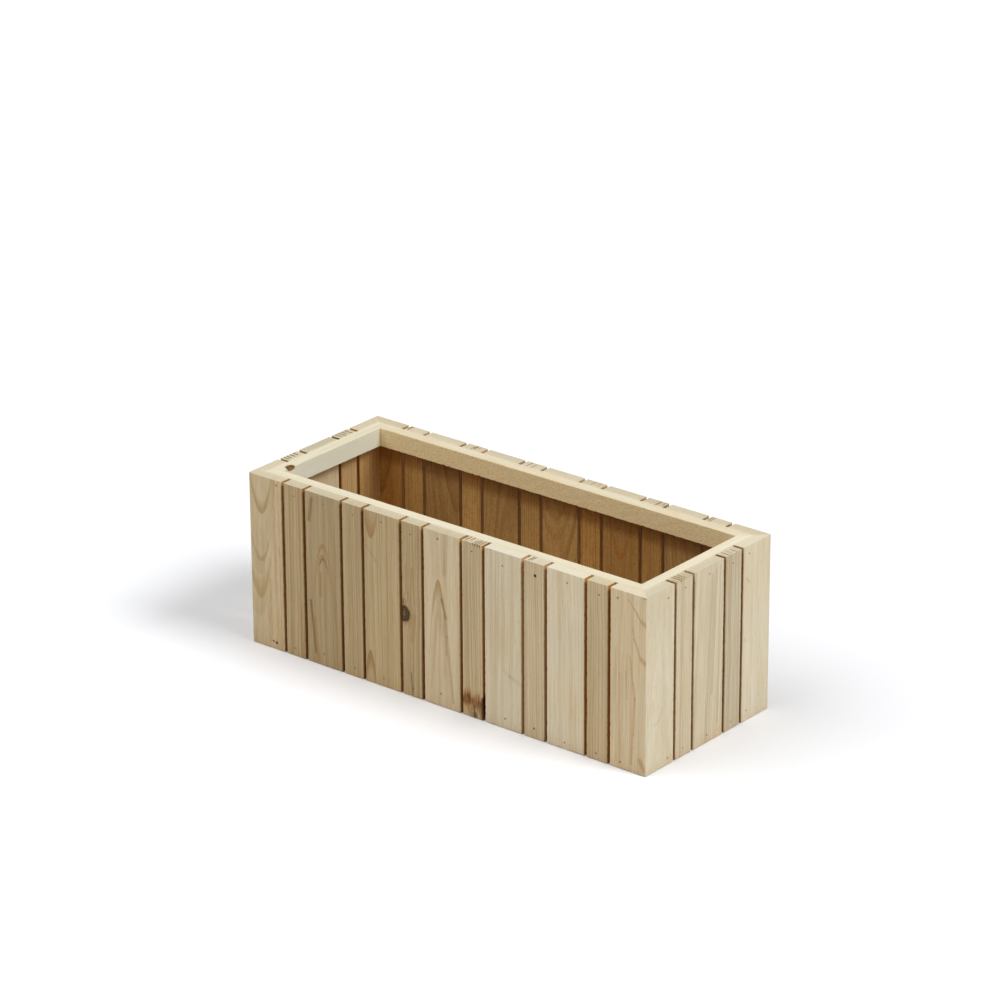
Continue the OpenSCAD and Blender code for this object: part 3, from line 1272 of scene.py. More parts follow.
    def mitred(self, points: np.ndarray) -> np.ndarray:
        """Leans mitred edges or ends inward by 45 degrees, and rounds the planter's corner over a mitre."""
        width, _, length = self.size
        left, right = self.mitres
        share = points[:, 0] / width
        moved = points.copy()
        moved[:, 0] += points[:, 1] * (left * (1 - share) - right * share)
        if self.rail:
            moved[:, 2] += points[:, 0] * (1 - 2 * points[:, 2] / length)
        for mitre, flip in ((left, False), (right, True)):
            if mitre:
                reach = width - moved[:, 0] if flip else moved[:, 0]
                turned = np.stack([reach, moved[:, 1]], axis=1)
                near = (turned < self.corner_round).all(axis=1)
                off = turned - self.corner_round
                greater = abs(off).max(axis=1)
                distance = np.hypot(off[:, 0], off[:, 1])
                near &= distance > 1e-9
                ratio = np.divide(greater, distance, out=np.ones_like(distance), where=near)
                turned = self.corner_round + off * ratio[:, None]
                moved[:, 0] = width - turned[:, 0] if flip else turned[:, 0]
                moved[:, 1] = turned[:, 1]
        return moved

    def build(self) -> bpy.types.Object:
        """Makes the board, dresses it and puts it in its node's place.

        Returns:
            The board's object.
        """
        points, faces = self.lattice()
        for step in (self.bored, self.grooved, self.rounded, self.worn, self.mitred, self.hollowed):
            points = step(points)
        material = self.timber.material(self)
        piece = mesh_piece(f"{self.node}_wood", self.lay.placed(points), faces, material)
        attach(piece, BODY)
        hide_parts(self.node)
        log.info("%s: %d faces, %.1f x %.1f x %.1f mm", piece.name, len(faces), *self.size)
        return piece


def chosen_timber(seed: int, width: float, tones: tuple[Tone, ...]) -> Timber:
    """Picks a finish for a board of no special figure.

    A narrow board is sawn with its rings square to the face, so that they show as straight lines. A wide one
    is sawn flat at some distance from the pith, which shows as arches.

    Args:
        seed: The start of the random draws.
        width: The board's width.
        tones: The tones to choose from.

    Returns:
        The finish.
    """
    draw = np.random.default_rng(seed)
    narrow = width < 40.0
    if narrow:
        across = draw.choice([-1.0, 1.0]) * draw.uniform(90.0, 160.0)
    else:
        across = draw.uniform(-5.0, width + 5.0)
    growth = Growth(
        across=float(across),
        behind=float(draw.uniform(5.0, 40.0) if narrow else draw.uniform(28.0, 75.0)),
        taper=float(draw.choice([-1.0, 1.0]) * draw.uniform(0.02, 0.09)),
        lean=float(draw.uniform(-0.02, 0.02)),
        year=float(draw.uniform(3.2, 4.6) if narrow else draw.uniform(3.0, 5.0)),
        strength=float(draw.uniform(0.5, 0.75)),
    )
    grooves = tuple(
        Groove(float(place), float(draw.uniform(0.6, 0.95)), float(draw.uniform(0.8, 1.7)), *torn_run(draw))
        for place in np.sort(draw.uniform(3.0, width - 3.0, int(draw.integers(3, 6))))
    )
    tone = tones[int(draw.integers(len(tones)))]
    shade = float(draw.uniform(0.9, 1.0))
    glow = float(draw.uniform(0.88, 1.12))
    return Timber(
        tone=tone,
        growth=growth,
        seed=seed,
        grooves=grooves[1:] if narrow else (),
        edges=0.6,
        shade=shade,
        end_grain=tuple(glow * part for part in Timber.end_grain),
        torn=(0.42, 0.26, 0.12),
    )


def torn_run(draw: np.random.Generator) -> Spot:
    """Picks how much of a board's thickness a torn groove runs."""
    start = float(draw.uniform(-0.2, 0.35))
    return start, start + float(draw.uniform(0.45, 0.9))


# The finishes of boards with a figure of their own, by board. Places are millimetres from a board's lower
# left corner, as its wall is seen from outside.
FRONT_TIMBER: dict[int, Timber] = {
    1: Timber(
        Tone.STRAW,
        Growth(across=13, behind=52, taper=-0.06, lean=0.03, year=6.5, strength=0.35, onset=0.1),
        seed=101,
        shade=1.03,
        tongues=(
            Tongue((18.7, 173), 7.0, -1, 17.0, 62, 0.68, Stain.OCHRE, 1.5),
            Tongue((16.5, 110.5), 7.5, -1, 8.0, 62, 0.55, Stain.OCHRE, 1.2),
            Tongue((14.5, 62), 6.5, -1, 30.0, 62, 0.55, Stain.OCHRE, 1.5),
        ),
        streaks=(
            Streak((39.3, 222), (41.5, 0), 2.4, 0.3, Stain.AMBER),
            Streak((46.2, 222), (47.5, 0), 1.3, 0.35, Stain.AMBER),
            Streak((30.8, 90), (32, 12), 1.6, 0.35, Stain.AMBER),
        ),
        edges=0.85,
    ),
    2: Timber(
        Tone.TAN,
        Growth(across=-70, behind=10, lean=0.008, year=4.6, strength=0.7),
        seed=102,
        shade=0.98,
        streaks=(Streak((24.1, 222), (24.2, 0), 1.8, 0.65), Streak((8.6, 222), (9.0, 0), 1.2, 0.3)),
        edges=0.85,
    ),
    3: Timber(
        Tone.TAN,
        Growth(across=-70, behind=24, year=7.5, strength=0.22),
        seed=103,
        shade=0.87,
        streaks=(
            Streak((6.6, 81), (13.3, 15), 1.7, 0.9, Stain.UMBER),
            Streak((12.5, 60), (17.8, 4), 2.4, 0.6),
            Streak((11.0, 213.3), (6.4, 185.5), 2.4, 0.7, Stain.UMBER),
            Streak((22.3, 120), (22.5, 92), 2.4, 0.6),
            Streak((45.9, 189), (47.2, 120), 1.6, 0.35),
            Streak((46.7, 120), (47.8, 0), 1.6, 0.5),
        ),
        tongues=(
            Tongue((27.3, 159), 4.6, 1, 9.0, 60, 0.7),
            Tongue((26.8, 145.6), 4.6, 1, 7.0, 170, 0.65),
            Tongue((27.0, 141.3), 3.0, 1, 6.0, 24, 0.8, Stain.UMBER),
        ),
        edges=0.85,
    ),
    4: Timber(
        Tone.TAN,
        Growth(across=-80, behind=12, year=4.2, strength=0.6),
        seed=104,
        shade=0.96,
        end_grain=(0.534, 0.483, 0.354),
        streaks=(Streak((10.8, 214.5), (9.2, 0), 1.2, 0.35), Streak((22.9, 222), (23.2, 0), 1.0, 0.3)),
        edges=0.8,
    ),
    5: Timber(
        Tone.TAN,
        Growth(across=-30, behind=46, taper=0.01, year=6.0, strength=0.35),
        seed=105,
        shade=1.03,
        streaks=(
            Streak((36.8, 222), (34.4, 0), 1.2, 0.45),
            Streak((42.8, 222), (43, 0), 1.0, 0.25),
            Streak((3.6, 176.5), (18.6, 159.6), 1.2, 0.4, Stain.GREY),
            Streak((16.5, 159.6), (25.5, 152.7), 0.9, 0.25, Stain.GREY),
            Streak((6.7, 217.3), (10.7, 191.4), 3.6, 0.45),
        ),
        tongues=(
            Tongue((11.1, 186.4), 3.8, -1, 26.0, 50, 0.65),
            Tongue((8.1, 42.3), 2.0, 1, 30.0, 60, 0.85),
        ),
        edges=0.8,
    ),
    6: Timber(
        Tone.TAN,
        Growth(across=-60, behind=12, year=4.4, strength=0.75),
        seed=106,
        shade=0.98,
        knots=(Knot((3.4, 104.6), (8.8, 9.7)),),
        streaks=(
            Streak((1.6, 121.5), (2.2, 118.0), 2.2, 0.85, Stain.SCORCH),
            Streak((5.6, 122.5), (5.9, 120.0), 1.4, 0.7, Stain.OCHRE),
            Streak((3.6, 130.7), (3.5, 123.4), 0.9, 0.7, Stain.UMBER),
            Streak((9.5, 132.3), (9.3, 120.7), 0.8, 0.6, Stain.UMBER),
            Streak((13.4, 127.3), (13.2, 118.5), 0.8, 0.5, Stain.UMBER),
            Streak((6.4, 167.6), (7.3, 132.0), 1.8, 0.3, Stain.UMBER),
            Streak((15.9, 164.6), (13.3, 128.0), 1.8, 0.4),
            Streak((9.0, 95.5), (12.5, 93.0), 2.4, 0.6, Stain.AMBER),
            Streak((3.0, 92.8), (6.0, 92.0), 2.2, 0.6, Stain.OCHRE),
            Streak((19.3, 104), (15.2, 72), 3.2, 0.45),
            Streak((13.0, 30.3), (14.9, 2.4), 1.0, 0.75, Stain.BARK),
            Streak((20.6, 222), (20.3, 120), 1.0, 0.3),
        ),
        edges=0.75,
    ),
    7: Timber(
        Tone.HONEY,
        Growth(across=22, behind=60, taper=0.02, year=5.2, strength=0.2),
        seed=107,
        shade=1.05,
        end_grain=(0.51, 0.45, 0.31),
        streaks=(
            Streak((27.2, 138), (33.6, 116), 2.4, 0.55, Stain.OCHRE),
            Streak((27.2, 138), (33.6, 116), 1.3, 0.7, Stain.UMBER),
            Streak((33.6, 116), (35, 92), 1.6, 0.55),
            Streak((35, 92), (43.7, 10.5), 1.9, 0.45),
            Streak((29.6, 118), (34, 70), 1.5, 0.4),
            Streak((21.1, 120), (10.8, 20.4), 1.6, 0.25, Stain.AMBER),
            Streak((31, 221.3), (31.5, 171.5), 3.2, 0.28, Stain.UMBER),
        ),
        tongues=(
            Tongue((22.1, 161.7), 2.4, 1, 34.0, 60, 0.6, Stain.OCHRE),
            Tongue((22.1, 161.7), 2.1, 1, 16.0, 190, 0.42, Stain.OCHRE),
            Tongue((22.7, 135.8), 1.1, 1, 40.0, 120, 0.25),
        ),
        edges=0.95,
    ),
    8: Timber(
        Tone.STRAW,
        Growth(across=-80, behind=10, year=4.2, strength=0.7),
        seed=108,
        shade=0.97,
        streaks=(
            Streak((22.7, 19), (29.5, 6), 4.2, 0.75, Stain.UMBER),
            Streak((30.4, 27), (30.2, 0), 2.6, 0.95, Stain.BARK),
            Streak((17.2, 16), (17.8, 0), 1.5, 0.95, Stain.BARK),
            Streak((18.4, 5.0), (18.8, -1), 3.4, 0.95, Stain.BARK),
            Streak((4.0, 22), (10.6, 5), 1.6, 0.6, Stain.UMBER),
            Streak((12.6, 12), (13.4, 0), 1.4, 0.6, Stain.UMBER),
        ),
        scorch=Scorch(foot=11.0, top=24.5, tongue=13.0, strength=1.0),
        grooves=(
            Groove(20.0, 0.8, 2.0, -0.2, 0.8),
            Groove(23.4, 0.8, 2.0, -0.2, 0.75),
            Groove(26.8, 0.8, 2.2, -0.2, 0.9),
            Groove(16.6, 0.6, 1.2, 0.0, 0.6),
            Groove(4.0, 0.7, 1.6, 0.2, 1.2),
            Groove(9.5, 0.6, 1.4, 0.45, 1.2),
        ),
    ),
    9: Timber(
        Tone.CREAM,
        Growth(across=-90, behind=14, lean=0.01, year=4.2, strength=0.3),
        seed=109,
        shade=1.08,
        end_grain=(0.722, 0.684, 0.56),
        streaks=(
            Streak((27.4, 74.4), (37.8, 68.5), 2.2, 0.18, Stain.BRUISE),
            Streak((37.8, 68.5), (51.2, 63.5), 2.8, 0.22, Stain.BRUISE),
        ),
        edges=0.6,
    ),
    10: Timber(
        Tone.HONEY,
        Growth(across=-90, behind=12, year=4.4, strength=0.5),
        seed=110,
        shade=1.03,
        end_grain=(0.637, 0.589, 0.447),
        grooves=(Groove(5.5, 0.6, 1.4, 0.2, 1.2), Groove(8.4, 0.5, 1.2, 0.3, 1.2)),
        edges=0.6,
    ),
    11: Timber(
        Tone.CREAM,
        Growth(across=-90, behind=14, lean=-0.012, year=4.6, strength=0.25),
        seed=111,
        shade=1.15,
        end_grain=(0.73, 0.694, 0.56),
    ),
    12: Timber(
        Tone.STRAW,
        Growth(across=-80, behind=12, lean=-0.006, year=4.0, strength=0.65),
        seed=112,
        shade=1.03,
    ),
    13: Timber(
        Tone.HONEY,
        Growth(across=-60, behind=24, taper=0.01, lean=0.01, year=4.4, strength=0.3),
        seed=113,
        shade=1.15,
        end_grain=(0.694, 0.637, 0.485),
        streaks=(
            Streak((26.7, 213.2), (34.4, 203.9), 1.2, 0.4, Stain.OCHRE),
            Streak((34.4, 203.9), (43.5, 191.2), 1.3, 0.5, Stain.OCHRE),
            Streak((46.0, 190.0), (53.0, 187.0), 3.2, 0.55, Stain.AMBER),
            Streak((32.9, 179.6), (34.7, 166.5), 1.2, 0.4, Stain.OCHRE),
            Streak((34.7, 166.5), (43.0, 146.0), 1.4, 0.5, Stain.OCHRE),
            Streak((45.0, 144.0), (52.0, 140.5), 3.4, 0.6, Stain.AMBER),
            Streak((28.2, 144.4), (32.9, 111.8), 1.4, 0.4, Stain.AMBER),
            Streak((32.9, 111.8), (35.4, 93.1), 1.5, 0.5, Stain.AMBER),
            Streak((35.4, 93.1), (33.7, 48.1), 1.7, 0.55, Stain.AMBER),
            Streak((33.7, 48.1), (31.2, 10.8), 1.7, 0.55, Stain.AMBER),
            Streak((22.8, 123.5), (24.8, 90.0), 1.2, 0.3),
            Streak((14, 120), (15, 10), 1.2, 0.35, Stain.AMBER),
            Streak((8, 150), (9, 10), 1.4, 0.25, Stain.AMBER),
            Streak((43.3, 18.3), (50.7, 6.0), 3.4, 0.5),
            # A painted shadow line just below the top edge, near the planter's corner.
            Streak((47.0, 220.9), (50.6, 220.3), 1.0, 0.55, Stain.UMBER),
        ),
        edges=0.9,
    ),
}

RIGHT_TIMBER: dict[int, Timber] = {
    1: Timber(
        Tone.PALE,
        Growth(across=30, behind=80, taper=0.03, year=5.0, strength=0.2),
        seed=201,
        streaks=(
            Streak((16.4, 57.7), (26, 62.7), 1.4, 0.25, Stain.BRUISE),
            Streak((26, 62.7), (31.9, 76.6), 1.2, 0.25, Stain.BRUISE),
        ),
        shade=0.98,
        edges=0.8,
    ),
    2: Timber(
        Tone.CREAM,
        Growth(across=-80, behind=12, year=3.6, strength=0.5),
        seed=202,
        shade=0.95,
        grooves=(
            Groove(8.0, 0.8, 2.0, -0.2, 1.2),
            Groove(12.5, 0.8, 2.0, 0.05, 1.2),
            Groove(17.5, 0.7, 1.6, 0.1, 0.9),
        ),
        streaks=(Streak((11, 222), (9, 0), 1.4, 0.2, Stain.GREY),),
        edges=0.85,
        end_grain=(0.46, 0.38, 0.23),
        torn=(0.42, 0.28, 0.14),
    ),
    3: Timber(
        Tone.CREAM,
        Growth(across=-60, behind=16, lean=0.05, year=4.0, strength=0.55),
        seed=203,
        shade=0.95,
        streaks=(
            Streak((33.8, 208.4), (23.3, 1.2), 1.8, 0.3, Stain.GREY),
            Streak((41.5, 213), (34.5, 60), 1.5, 0.3, Stain.GREY),
            Streak((48.5, 215), (45.5, 20), 1.4, 0.25, Stain.GREY),
        ),
        edges=0.62,
    ),
    4: Timber(
        Tone.CREAM,
        Growth(across=-80, behind=12, year=3.8, strength=0.6),
        seed=204,
        shade=0.85,
        grooves=(
            Groove(7.0, 0.7, 1.5, 0.1, 0.9),
            Groove(14.0, 0.6, 1.4, 0.2, 0.8),
            Groove(21.0, 0.6, 1.3, 0.1, 0.7),
        ),
        streaks=(
            Streak((18.5, 222), (15.5, 0), 1.5, 0.25, Stain.GREY),
            Streak((7.5, 222), (6.5, 0), 1.3, 0.2, Stain.GREY),
            Streak((23.5, 222), (22.5, 0), 1.3, 0.2, Stain.GREY),
        ),
        edges=0.95,
        torn=(0.42, 0.28, 0.14),
    ),
    5: Timber(
        Tone.PALE,
        Growth(across=20, behind=90, taper=-0.02, year=5.0, strength=0.2),
        seed=205,
        shade=0.99,
        end_grain=(0.684, 0.637, 0.494),
        streaks=(
            Streak((6.5, 181.7), (10.5, 176.8), 1.6, 0.3, Stain.BRUISE),
            Streak((3.3, 106.4), (6.2, 102.4), 1.3, 0.25, Stain.BRUISE),
        ),
    ),
}

BACK_FIGURE = Timber(
    Tone.TAN,
    Growth(across=-60, behind=30, year=5.0, strength=0.4),
    seed=305,
    shade=0.97,
    tongues=(
        Tongue((27.7, 138.5), 5.5, -1, 14.0, 60, 0.85, Stain.AMBER, 0.9),
        Tongue((27.7, 149.5), 5.5, -1, 5.0, 40, 0.4, Stain.AMBER, 0.9),
    ),
    edges=0.6,
)

LEFT_TIMBER: dict[int, Timber] = {
    1: Timber(
        Tone.HONEY,
        Growth(across=-60, behind=20, year=4.4, strength=0.5),
        seed=401,
        sawn=0.9,
    ),
    2: Timber(
        Tone.TAN,
        Growth(across=-70, behind=12, year=4.0, strength=0.6),
        seed=402,
        shade=0.95,
        grooves=(
            Groove(24.0, 0.8, 2.2, -0.2, 0.7),
            Groove(18.0, 0.8, 2.0, -0.1, 0.8),
            Groove(12.5, 0.7, 2.0, -0.2, 0.6),
            Groove(7.0, 0.8, 2.2, 0.0, 0.9),
        ),
        sawn=0.35,
    ),
    3: Timber(
        Tone.IVORY,
        Growth(across=24, behind=60, taper=0.03, year=4.6, strength=0.45),
        seed=403,
        shade=0.9,
        end_grain=(0.47, 0.42, 0.28),
        sawn=0.35,
    ),
    4: Timber(
        Tone.CREAM,
        Growth(across=-80, behind=12, year=4.0, strength=0.5),
        seed=404,
        grooves=(
            Groove(25.6, 1.2, 2.4, -0.2, 0.7),
            Groove(20.4, 1.3, 2.6, -0.2, 0.62),
            Groove(14.2, 1.2, 2.4, -0.2, 0.58),
            Groove(8.2, 1.2, 2.4, -0.2, 0.55),
        ),
        torn=(0.34, 0.21, 0.09),
        sawn=0.35,
    ),
}

# The hollow in the upper frame's left rail.
LEFT_POCKET = Pocket(along=28.6, half=(5.4, 2.4, 7.6), depth=2.1)

# Brads that stand elsewhere than in the middle of the model's pattern, by board. One board has a third brad.
FRONT_BRADS: dict[int, tuple[Brad, ...]] = {
    1: ((33.7, 9.6, 0.7), (38.7, 8.9, 1.3), (44.0, 215.5, 0.3)),
    3: ((26.0, 14.8, 0.35), (29.0, 210.2, 0.2)),
    5: ((28.2, 10.5, 0.25), (27.6, 211.3, 0.35)),
    6: ((15.9, 10.5, 0.3), (14.2, 207.9, 0.35)),
    7: ((24.9, 16.3, 0.3), (22.1, 213.3, 0.6)),
    8: ((15.0, 11.0, 0.3), (15.0, 211.0, 0.15)),
    9: ((30.0, 12.4, 0.3), (26.9, 205.2, 0.25)),
    10: ((15.1, 12.9, 0.6), (17.1, 206.1, 1.6)),
    11: ((26.2, 8.5, 0.2), (30.0, 209.8, 0.2)),
    12: ((14.0, 8.8, 0.3), (17.7, 207.7, 0.4)),
    13: ((14.8, 8.0, 0.5), (10.5, 211.3, 0.4)),
}
RIGHT_BRADS: dict[int, tuple[Brad, ...]] = {
    1: ((41.6, 8.5, 0.4), (40.5, 208.5, 0.3)),
}

# How bright the back wall's boards are, by board.
BACK_SHADES: dict[int, float] = {
    3: 0.84,
    4: 1.05,
    6: 1.18,
    7: 0.92,
    8: 0.91,
    9: 0.78,
    10: 1.05,
    11: 0.71,
    12: 1.04,
    13: 1.24,
}


@dataclass
class WallBoards:
    """The upright boards of one wall, numbered from left to right as it is seen from outside.

    Attributes:
        side: The wall.
        count: How many boards it has.
        known: The finishes of boards with a figure of their own.
        tones: The tones of its other boards.
        sawn: How rough and brown the inner faces of those are.
        shades: How bright single boards are beside others of their tone.
        rim_stain: How strong the painted shadow of the upper frame is on their inner faces, just below that
            frame.
        stray: Where brads stand on single boards, and how deep they are sunk.
        brad_rise: How far brads stand from either end of a board.
        brad_edge: How far a corner board's brads stand from its straight edge.
        brad_sunk: How deep brads are sunk.
        mitre_lost: How far the rounded outer edge of a mitre stands back from its sharp corner.
    """

    side: Side
    count: int
    known: dict[int, Timber] = field(default_factory=dict)
    tones: tuple[Tone, ...] = (Tone.HONEY, Tone.TAN, Tone.CREAM)
    sawn: float = 1.0
    shades: dict[int, float] = field(default_factory=dict)
    rim_stain: float = 0.0
    stray: dict[int, tuple[Brad, ...]] = field(default_factory=dict)
    brad_rise: float = 11.0
    brad_edge: float = 11.5
    brad_sunk: float = 0.2
    mitre_lost: float = 1.0 - math.sqrt(0.5)

    def node(self, number: int) -> str:
        """The name of a board's CAD node."""
        return f"{self.side.word}_slat_{number:02d}"

    def brad_spots(self, number: int, width: float, height: float) -> tuple[Brad, ...]:
        """Where the brads of one board stand.

        A board without known places has its brads where the model has them, each a little astray.

        Args:
            number: The board's number.
            width: Its width.
            height: Its height.

        Returns:
            The brads' places on the board and their depths, the lower one first.
        """
        if number in self.stray:
            return self.stray[number]
        middle = width / 2
        if number == 1:
            middle = width - self.brad_edge
        elif number == self.count:
            middle = self.brad_edge
        draw = np.random.default_rng(1000 * self.side.value + number)
        off = draw.uniform(-2.5, 2.5, 4)
        return (
            (middle + float(off[0]), self.brad_rise + float(off[1]), self.brad_sunk),
            (middle + float(off[2]), height - self.brad_rise + float(off[3]), self.brad_sunk),
        )

    def board(self, number: int) -> Board:
        """Describes one board.

        Args:
            number: The board's number.

        Returns:
            The board, ready to build.
        """
        node = self.node(number)
        lay, size = Lay.of_node(node, self.side.along, self.side.inward)
        if number == 1:
            lay = replace(lay, corner=lay.corner - lay.across * (self.mitre_lost * MM))
        if number in (1, self.count):
            size = (size[0] + self.mitre_lost, size[1], size[2])
        seed = 100 * (self.side.value + 1) + number
        timber = self.known.get(number)
        if timber is None:
            timber = replace(chosen_timber(seed, size[0], self.tones), sawn=self.sawn)
        timber = replace(timber, shade=self.shades.get(number, timber.shade), rim_stain=self.rim_stain)
        return Board(
            node,
            lay,
            size,
            timber,
            "wall_pine",
            brads=self.brad_spots(number, size[0], size[2]),
            mitres=(int(number == 1), int(number == self.count)),
        )

    def build(self) -> list[Board]:
        """Builds every board of the wall.

        Returns:
            The boards, for the brads to find their places.
        """
        boards = [self.board(number) for number in range(1, self.count + 1)]
        for board in boards:
            board.build()
        return boards


@dataclass
class RailFrame:
    """A mitred frame of four rails inside the wall boards.

    Attributes:
        level: The frame's word in the names of its pieces.
        tones: The tone of each rail, in the order of the walls.
        years: The ring width of each rail.
        shades: How bright each rail is.
        sawn: How rough and brown the inner face of each rail is.
        ragged: How torn the lower edge of each rail is.
        pocket_side: The wall whose rail has the bark pocket, if any.
        along_pitch: The distance between lattice lines along a rail.
    """

    level: str
    tones: tuple[Tone, Tone, Tone, Tone]
    years: tuple[float, float, float, float] = (3.6, 3.9, 3.4, 4.1)
    shades: tuple[float, float, float, float] = (0.95, 0.97, 0.905, 0.91)
    sawn: tuple[float, float, float, float] = (0.6, 0.4, 1.0, 0.0)
    ragged: tuple[float, float, float, float] = (0.5, 0.3, 1.1, 0.0)
    pocket_side: Side | None = None
    along_pitch: float = 2.4

    def rail(self, side: Side) -> Board:
        """Describes the rail of one wall, whose show face is its top.

        Args:
            side: The wall.

        Returns:
            The rail, ready to build.
        """
        node = f"{self.level}_rail_{side.word}"
        lay, size = Lay.of_node(node, side.inward, Vector((0, 0, -1)))
        step = side.value
        pith, behind = -30.0 - 22.0 * step, 34.0 - 5.0 * step
        timber = Timber(
            self.tones[step],
            Growth(across=pith, behind=behind, taper=0.004, year=self.years[step], strength=0.3),
            seed=(700 if self.level == "top" else 800) + step,
            pocket=LEFT_POCKET if side is self.pocket_side else None,
            sawn=self.sawn[step],
            shade=self.shades[step],
        )
        rough = self.ragged[step] > 1.0
        return Board(
            node,
            lay,
            size,
            timber,
            "rail_pine",
            arrises=(0.05, 0.8),
            pitch=(2.6, 1.3 if rough else 2.6, 1.3 if rough else self.along_pitch),
            wear=(0.2, 0.08, 0.3, 0.0, 0.0),
            rail=True,
            ragged=self.ragged[step],
        )

    def build(self) -> None:
        """Builds the four rails."""
        for side in Side:
            self.rail(side).build()


@dataclass
class PlanterFloor:
    """The floor boards, which lie across the planter on the lower frame.

    Attributes:
        count: How many boards it has.
        brad_edge: How far its brads stand from the long edges of a board.
        brad_end: How far its brads stand from the ends of a board.
        brad_sunk: How deep its brads are sunk.
    """

    count: int = 9
    brad_edge: float = 12.0
    brad_end: float = 6.25
    brad_sunk: float = 0.5

    def build(self) -> None:
        """Builds the floor boards."""
        for number in range(1, self.count + 1):
            node = f"floor_board_{number:02d}"
            lay, size = Lay.of_node(node, Vector((1, 0, 0)), Vector((0, 0, -1)))
            spots = tuple(
                (across, along, self.brad_sunk)
                for across in (self.brad_edge, size[0] - self.brad_edge)
                for along in (self.brad_end, size[2] - self.brad_end)
            )
            timber = chosen_timber(900 + number, size[0], (Tone.TAN, Tone.HONEY))
            Board(node, lay, size, timber, "floor_pine", pitch=(4.0, 5.0, 4.0), brads=spots).build()


@dataclass(frozen=True)
class BradSteel:
    """The finish of the brads: dull steel, darkened where it has lain in the damp."""

    bright: Shade = (0.42, 0.33, 0.21)
    dull: Shade = (0.17, 0.12, 0.07)

    def material(self) -> bpy.types.Material:
        """Makes the steel: blotches of tarnish a millimetre across, and fine scratches."""
        pad = Dressing("brad_steel", 0.5, 0.4, 0.35)
        place = pad.place()
        blotch = pad.noise(place, Grain.TARNISH, 3.0, 3.0)
        scratch = pad.noise(place, Grain.SCRATCH, 5.0, 2.0)
        colour = pad.blend(blotch.rise(0.4, 0.62), self.bright, self.dull)
        rough = blotch.rise(0.3, 0.7, 0.42, 0.7)
        return pad.finish(colour, rough, scratch * 0.02)


@dataclass
class Brads:
    """The brads that hold the wall boards, with their heads sunk below the wood.

    Attributes:
        shank: The shank's radius.
        head: The head's radius.
        head_deep: The head's thickness.
        long: The brad's length.
        sides: How many sides a brad has.
    """

    shank: float = 0.8
    head: float = 1.15
    head_deep: float = 0.9
    long: float = 24.5
    sides: int = 12

    def profile(self) -> np.ndarray:
        """The brad's radius and depth, from the middle of its slightly domed head to its tip."""
        rows = [
            (0.0, 0.0),
            (0.55 * self.head, 0.02),
            (0.88 * self.head, 0.07),
            (self.head, 0.22),
            (self.head, self.head_deep - 0.1),
            (0.9 * self.head, self.head_deep),
            (self.shank, self.head_deep + 0.35),
            (self.shank, self.long - 2.4),
            (0.0, self.long),
        ]
        return np.array(rows)

    def turned(self, lay: Lay, spot: Brad, first: int) -> tuple[np.ndarray, np.ndarray]:
        """One brad: its profile turned about its axis, closed at both poles.

        Args:
            lay: The board that it stands in.
            spot: Its place on the board's face, and how deep it is sunk.
            first: The number of its first point.

        Returns:
            Its points and its faces, all with three corners.
        """
        profile = self.profile()
        ring = profile[1:-1]
        angle = np.linspace(0.0, 2.0 * math.pi, self.sides, endpoint=False)
        across = spot[0] + np.outer(ring[:, 0], np.cos(angle))
        along = spot[1] + np.outer(ring[:, 0], np.sin(angle))
        into = np.repeat(spot[2] + ring[:, 1:2], self.sides, axis=1)
        body = np.stack([across, into, along], axis=-1).reshape(-1, 3)
        poles = np.array([[spot[0], spot[2], spot[1]], [spot[0], spot[2] + profile[-1, 1], spot[1]]])
        points = lay.placed(np.concatenate([poles, body]))
        here = np.arange(self.sides)
        after = (here + 1) % self.sides
        start = 2 + self.sides * np.arange(len(ring))[:, None]
        one, two = start[:-1] + here, start[:-1] + after
        three, four = start[1:] + after, start[1:] + here
        walls = np.stack([one, four, three, two], axis=-1).reshape(-1, 2, 2)
        upper = np.stack([walls[:, 0, 0], walls[:, 0, 1], walls[:, 1, 0]], axis=-1)
        lower = np.stack([walls[:, 0, 0], walls[:, 1, 0], walls[:, 1, 1]], axis=-1)
        cap = np.stack([np.zeros_like(here), 2 + here, 2 + after], axis=-1)
        tip = np.stack([np.ones_like(here), start[-1, 0] + after, start[-1, 0] + here], axis=-1)
        return points, np.concatenate([upper, lower, cap, tip]) + first

    def build(self, boards: list[Board]) -> None:
        """Builds the wall brads as one piece, and dresses the hidden brads of the frames and the floor.

        Args:
            boards: The wall boards that the brads stand in.
        """
        steel = BradSteel().material()
        all_points: list[np.ndarray] = []
        all_faces: list[np.ndarray] = []
        first = 0
        for board in boards:
            for spot in board.brads:
                points, faces = self.turned(board.lay, spot, first)
                all_points.append(points)
                all_faces.append(faces)
                first += len(points)
        piece = mesh_piece("wall_brads_steel", np.concatenate(all_points), np.concatenate(all_faces), steel)
        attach(piece, BODY)
        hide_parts("wall_brads")
        log.info("%s: %d brads", piece.name, len(all_points))
        for node in ("frame_brads", "floor_brads"):
            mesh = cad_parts[node].data
            mesh.materials.clear()
            mesh.materials.append(steel)
            log.info("%s: dressed", node)


@dataclass(frozen=True)
class Lamp:
    """A soft far light: the direction to it, its strength where a surface faces it, and how wide it looks."""

    name: str
    towards: Size
    strength: float
    width: float

    def build(self) -> None:
        """Makes the lamp. The factor of pi makes white that faces it as bright as its strength."""
        data = bpy.data.lights.new(self.name, "SUN")
        data.energy = self.strength * math.pi
        data.angle = math.radians(self.width)
        lamp = bpy.data.objects.new(self.name, data)
        lamp.rotation_mode = "QUATERNION"
        lamp.rotation_quaternion = Vector(self.towards).to_track_quat("Z", "Y")
        lamp.location = Vector(self.towards) * 3.0
        bpy.context.scene.collection.objects.link(lamp)


